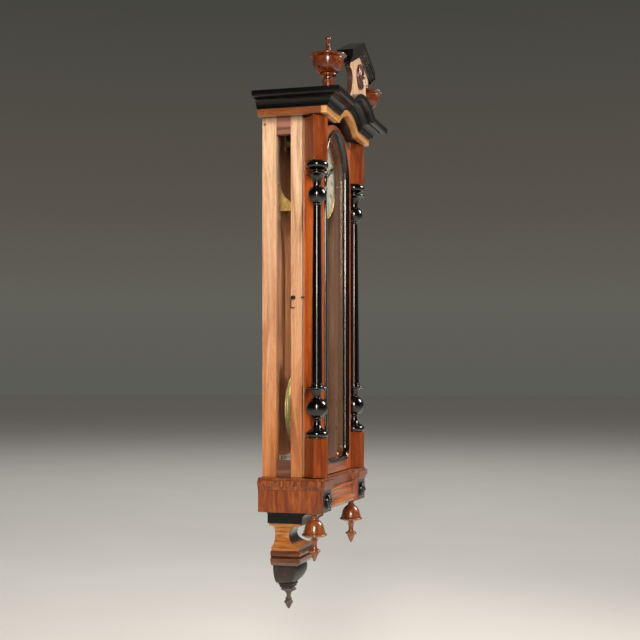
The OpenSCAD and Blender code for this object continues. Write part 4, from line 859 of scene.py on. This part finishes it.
# Bob: a spun brass lens with a rolled rim and two turned lines
LENS_R = 73.6
LENS_RISE = 11
shape = bmesh.new()
lens = []
for step in range(31):
    angle = math.radians(step * 3)
    groove = 0.35 if step in (6, 21) else 0.0
    lens.append((LENS_R * math.sin(angle), 2 + LENS_RISE * math.cos(angle) - groove))
lens += [(74.6, 1.6), (75.4, 1.4)] + arc((77.2, 0), 2.8, 52, 0, 6)
rear = [(r, -h) for r, h in reversed(lens[:-1])]
turned(shape, lens + rear, (0, -PENDULUM_Y, BOB), FORWARD, steps=96)
keep(shape, "bob_spun", "pendulum", bob_brass, ["pendulum_bob"], crease=28)

# Rating nut: a wheel with a milled rim
NUT = -712.5
shape = bmesh.new()
nut = [(1.65, 0), (5, 0), (6.4, 0.9), (6.4, 1.5), (5.9, 1.8), (5.9, 4.2), (6.4, 4.5), (6.4, 5), (4, 6)]
nut += [(1.65, 6), (1.65, 0)]
turned(shape, nut, (0, -PENDULUM_Y, NUT), steps=40)
rim = [v for v in shape.verts if 1.7 < v.co.z - NUT < 4.3 and math.hypot(v.co.x, v.co.y + PENDULUM_Y) > 5]
rim.sort(key=lambda v: (round(v.co.z, 2), math.atan2(v.co.y + PENDULUM_Y, v.co.x)))
for vert in rim[1::2]:
    bmesh.ops.scale(shape, vec=(1.1, 1.1, 1.0), space=Matrix.Translation((0, PENDULUM_Y, 0)), verts=[vert])
keep(shape, "rating_nut_milled", "nut", brass, ["rating_nut"])

# Weight: a turned brass case with its stirrup
WEIGHT_H = 168
shape = bmesh.new()
can = [(0, 0), (18, 0)] + arc((19, 5), 5, -90, 0, 6) + [(24, 8), (23.5, 8.6), (23.5, 9.4), (24, 10)]
can += [(24, 157), (23.5, 157.6), (23.5, 158.4), (24, 159), (24, 164)] + arc((20, 164), 4, 0, 90, 6)
can += [(12, 168.6), (8, 169), (8, 171), (0, 171)]
turned(shape, can, (0, -WEIGHT_Y, WEIGHT_TOP - WEIGHT_H), steps=64)
for y in (WEIGHT_Y - 5, WEIGHT_Y + 5):
    board(shape, (-5, y - 1.2, WEIGHT_TOP + 6), (5, y + 1.2, PULLEY + 6), 0.3)
board(shape, (-5, WEIGHT_Y - 6.2, WEIGHT_TOP + 2), (5, WEIGHT_Y + 6.2, WEIGHT_TOP + 8), 0.6)
rod(shape, (0, -WEIGHT_Y + 7.5, PULLEY), (0, -WEIGHT_Y - 7.5, PULLEY), 1.5)
keep(shape, "weight_turned", "hanging_weight", brass, ["weight"])

# Line: its turns on the drum, the two falls, and its bend round the pulley
LINE_R = 0.9
DRUM_R = 17.5
TURNS = 6
TURN_STEPS = 32
PITCH = 2.1
FIXED_END = -222.2
FALL_STEPS = 48

shape = bmesh.new()
loop = bmesh.ops.create_circle(shape, segments=8, radius=LINE_R)["verts"]
bmesh.ops.translate(shape, vec=(-DRUM_R, -WEIGHT_Y, GREAT), verts=loop)
bmesh.ops.spin(shape, geom=loop + list(shape.edges), cent=(0, 0, GREAT), axis=BACKWARD,
               angle=TURNS * math.tau, steps=TURNS * TURN_STEPS, dvec=(0, PITCH / TURN_STEPS, 0))
close_ends(shape)
keep(shape, "line_on_drum", "drum", gut)

shape = bmesh.new()
for x, top in ((-DRUM_R, GREAT), (DRUM_R, FIXED_END)):
    levels = [top + (PULLEY - top) * i / FALL_STEPS for i in range(FALL_STEPS + 1)]
    made = bmesh.ops.create_circle(shape, segments=10, radius=LINE_R)["verts"]
    bmesh.ops.translate(shape, vec=(x, -WEIGHT_Y, top), verts=made)
    edges = list({e for v in made for e in v.link_edges})
    for level, after in zip(levels, levels[1:]):
        lifted = bmesh.ops.extrude_edge_only(shape, edges=edges)["geom"]
        edges = [g for g in lifted if isinstance(g, bmesh.types.BMEdge)]
        bmesh.ops.translate(shape, vec=(0, 0, after - level), verts=verts_in(lifted))
close_ends(shape)
falls = smooth_piece(shape, "line_falls", gut)
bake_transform(falls)
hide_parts("weight_line")

shape = bmesh.new()
loop = bmesh.ops.create_circle(shape, segments=10, radius=LINE_R)["verts"]
bmesh.ops.translate(shape, vec=(-DRUM_R, -WEIGHT_Y, PULLEY), verts=loop)
bmesh.ops.spin(shape, geom=loop + list(shape.edges), cent=(0, -WEIGHT_Y, PULLEY), axis=FORWARD,
               angle=math.pi, steps=28)
close_ends(shape)
keep(shape, "line_round_pulley", "hanging_weight", gut)

# Floor, lamps and sky
FLOOR = -1.32
shape = bmesh.new()
bmesh.ops.create_grid(shape, x_segments=1, y_segments=1, size=60.0)
bmesh.ops.translate(shape, verts=shape.verts, vec=(0, 0, FLOOR))
floor_mesh = bpy.data.meshes.new("floor")
shape.to_mesh(floor_mesh)
shape.free()
floor = bpy.data.objects.new("floor", floor_mesh)
scene.collection.objects.link(floor)
# Matt painted floor: a pale warm grey, a little uneven over half a metre
floor_paint, tree, place = fresh("pale_floor")
laid = add(tree, "Mapping", {"Scale": units(500)}, {"Vector": place})
clouds = add(tree, "TexNoise", {"Scale": 1.0, "Detail": 1.0}, {"Vector": laid.outputs[0]}).outputs[0]
tone = add(tree, "ValToRGB", links={"Fac": clouds}, stops=[(0.3, "#D8D5CF"), (0.7, "#DBD8D2")]).outputs[0]
finished(floor_paint, tree, add(tree, "BsdfPrincipled", {"Roughness": 0.7}, {"Base Color": tone}))
floor_mesh.materials.append(floor_paint)

# The sky is a grey backdrop, darker overhead. Polish mirrors it, dimmer on the lit side, and the rest
# is lit as by a plain grey room.
world = bpy.data.worlds.new("grey_room")
world.use_nodes = True
scene.world = world
sky = world.node_tree
background = sky.nodes["Background"]
outwards = add(sky, "SeparateXYZ", links={"Vector": add(sky, "TexCoord").outputs["Generated"]}).outputs
height = add(sky, "MapRange", {"From Min": 0.0, "From Max": 0.30}, {"Value": outwards["Z"]}).outputs[0]
backdrop = add(sky, "ValToRGB", links={"Fac": height},
               stops=[(0.0, "#5C5C56"), (0.22, "#605F58"), (0.5, "#57524B"), (1.0, "#454540")]).outputs[0]
sideways = add(sky, "MapRange", {"From Min": -0.6, "From Max": 0.8}, {"Value": outwards["X"]}).outputs[0]
mirrored = add(sky, "Mix", {6: linear("#141311")}, {0: sideways, 7: backdrop}, data_type="RGBA").outputs[2]
path = add(sky, "LightPath").outputs
shown = add(sky, "Math", links={0: path["Is Camera Ray"], 1: path["Is Transmission Ray"]},
            operation="MAXIMUM").outputs[0]
room = add(sky, "Mix", {6: linear("#706E6A")}, {0: path["Is Glossy Ray"], 7: mirrored},
           data_type="RGBA").outputs[2]
whole = add(sky, "Mix", links={0: shown, 6: room, 7: backdrop}, data_type="RGBA").outputs[2]
sky.links.new(whole, background.inputs["Color"])
background.inputs["Strength"].default_value = 1.0


def lamp(name, place, aim, power, wide, tall, colour="#FFFFFF", glossy=True, spread=180):
    """A soft lamp at a place in metres, turned towards its aim; its beam spreads so many degrees."""
    data = bpy.data.lights.new(name, "AREA")
    data.energy = power
    data.color = linear(colour)[:3]
    data.shape = "RECTANGLE"
    data.size = wide
    data.size_y = tall
    data.spread = math.radians(spread)
    light = bpy.data.objects.new(name, data)
    light.location = place
    light.rotation_euler = (Vector(aim) - Vector(place)).to_track_quat("-Z", "Y").to_euler()
    light.visible_glossy = glossy
    scene.collection.objects.link(light)


MIDDLE = (0, -0.1, -0.4)
WARM_WHITE = "#FFF6EA"
lamp("key_softbox", (-2.9, -0.75, 0.45), MIDDLE, 21, 0.45, 1.2, WARM_WHITE, spread=100)
lamp("strip_light", (-2.9, -0.75, -0.6), MIDDLE, 10, 0.2, 1.0, WARM_WHITE)
lamp("right_softbox", (1.2, -2.1, 1.1), MIDDLE, 23, 0.9, 0.9, WARM_WHITE, spread=100)
lamp("left_softbox", (-2.6, 0.9, 0.3), MIDDLE, 5, 0.5, 1.6, "#FFEFE4", glossy=False)
lamp("fill_softbox", (-1.5, -2.4, 0.2), (0, -0.1, -0.45), 17, 1.2, 1.2, WARM_WHITE, glossy=False)
lamp("near_floor_light", (1.18, 0.19, 2.6), (1.18, 0.2, FLOOR), 48, 1.6, 1.6, glossy=False)
lamp("far_floor_light", (5.3, 1.3, 6.7), (5.3, 1.31, FLOOR), 320, 3.0, 3.0, glossy=False)
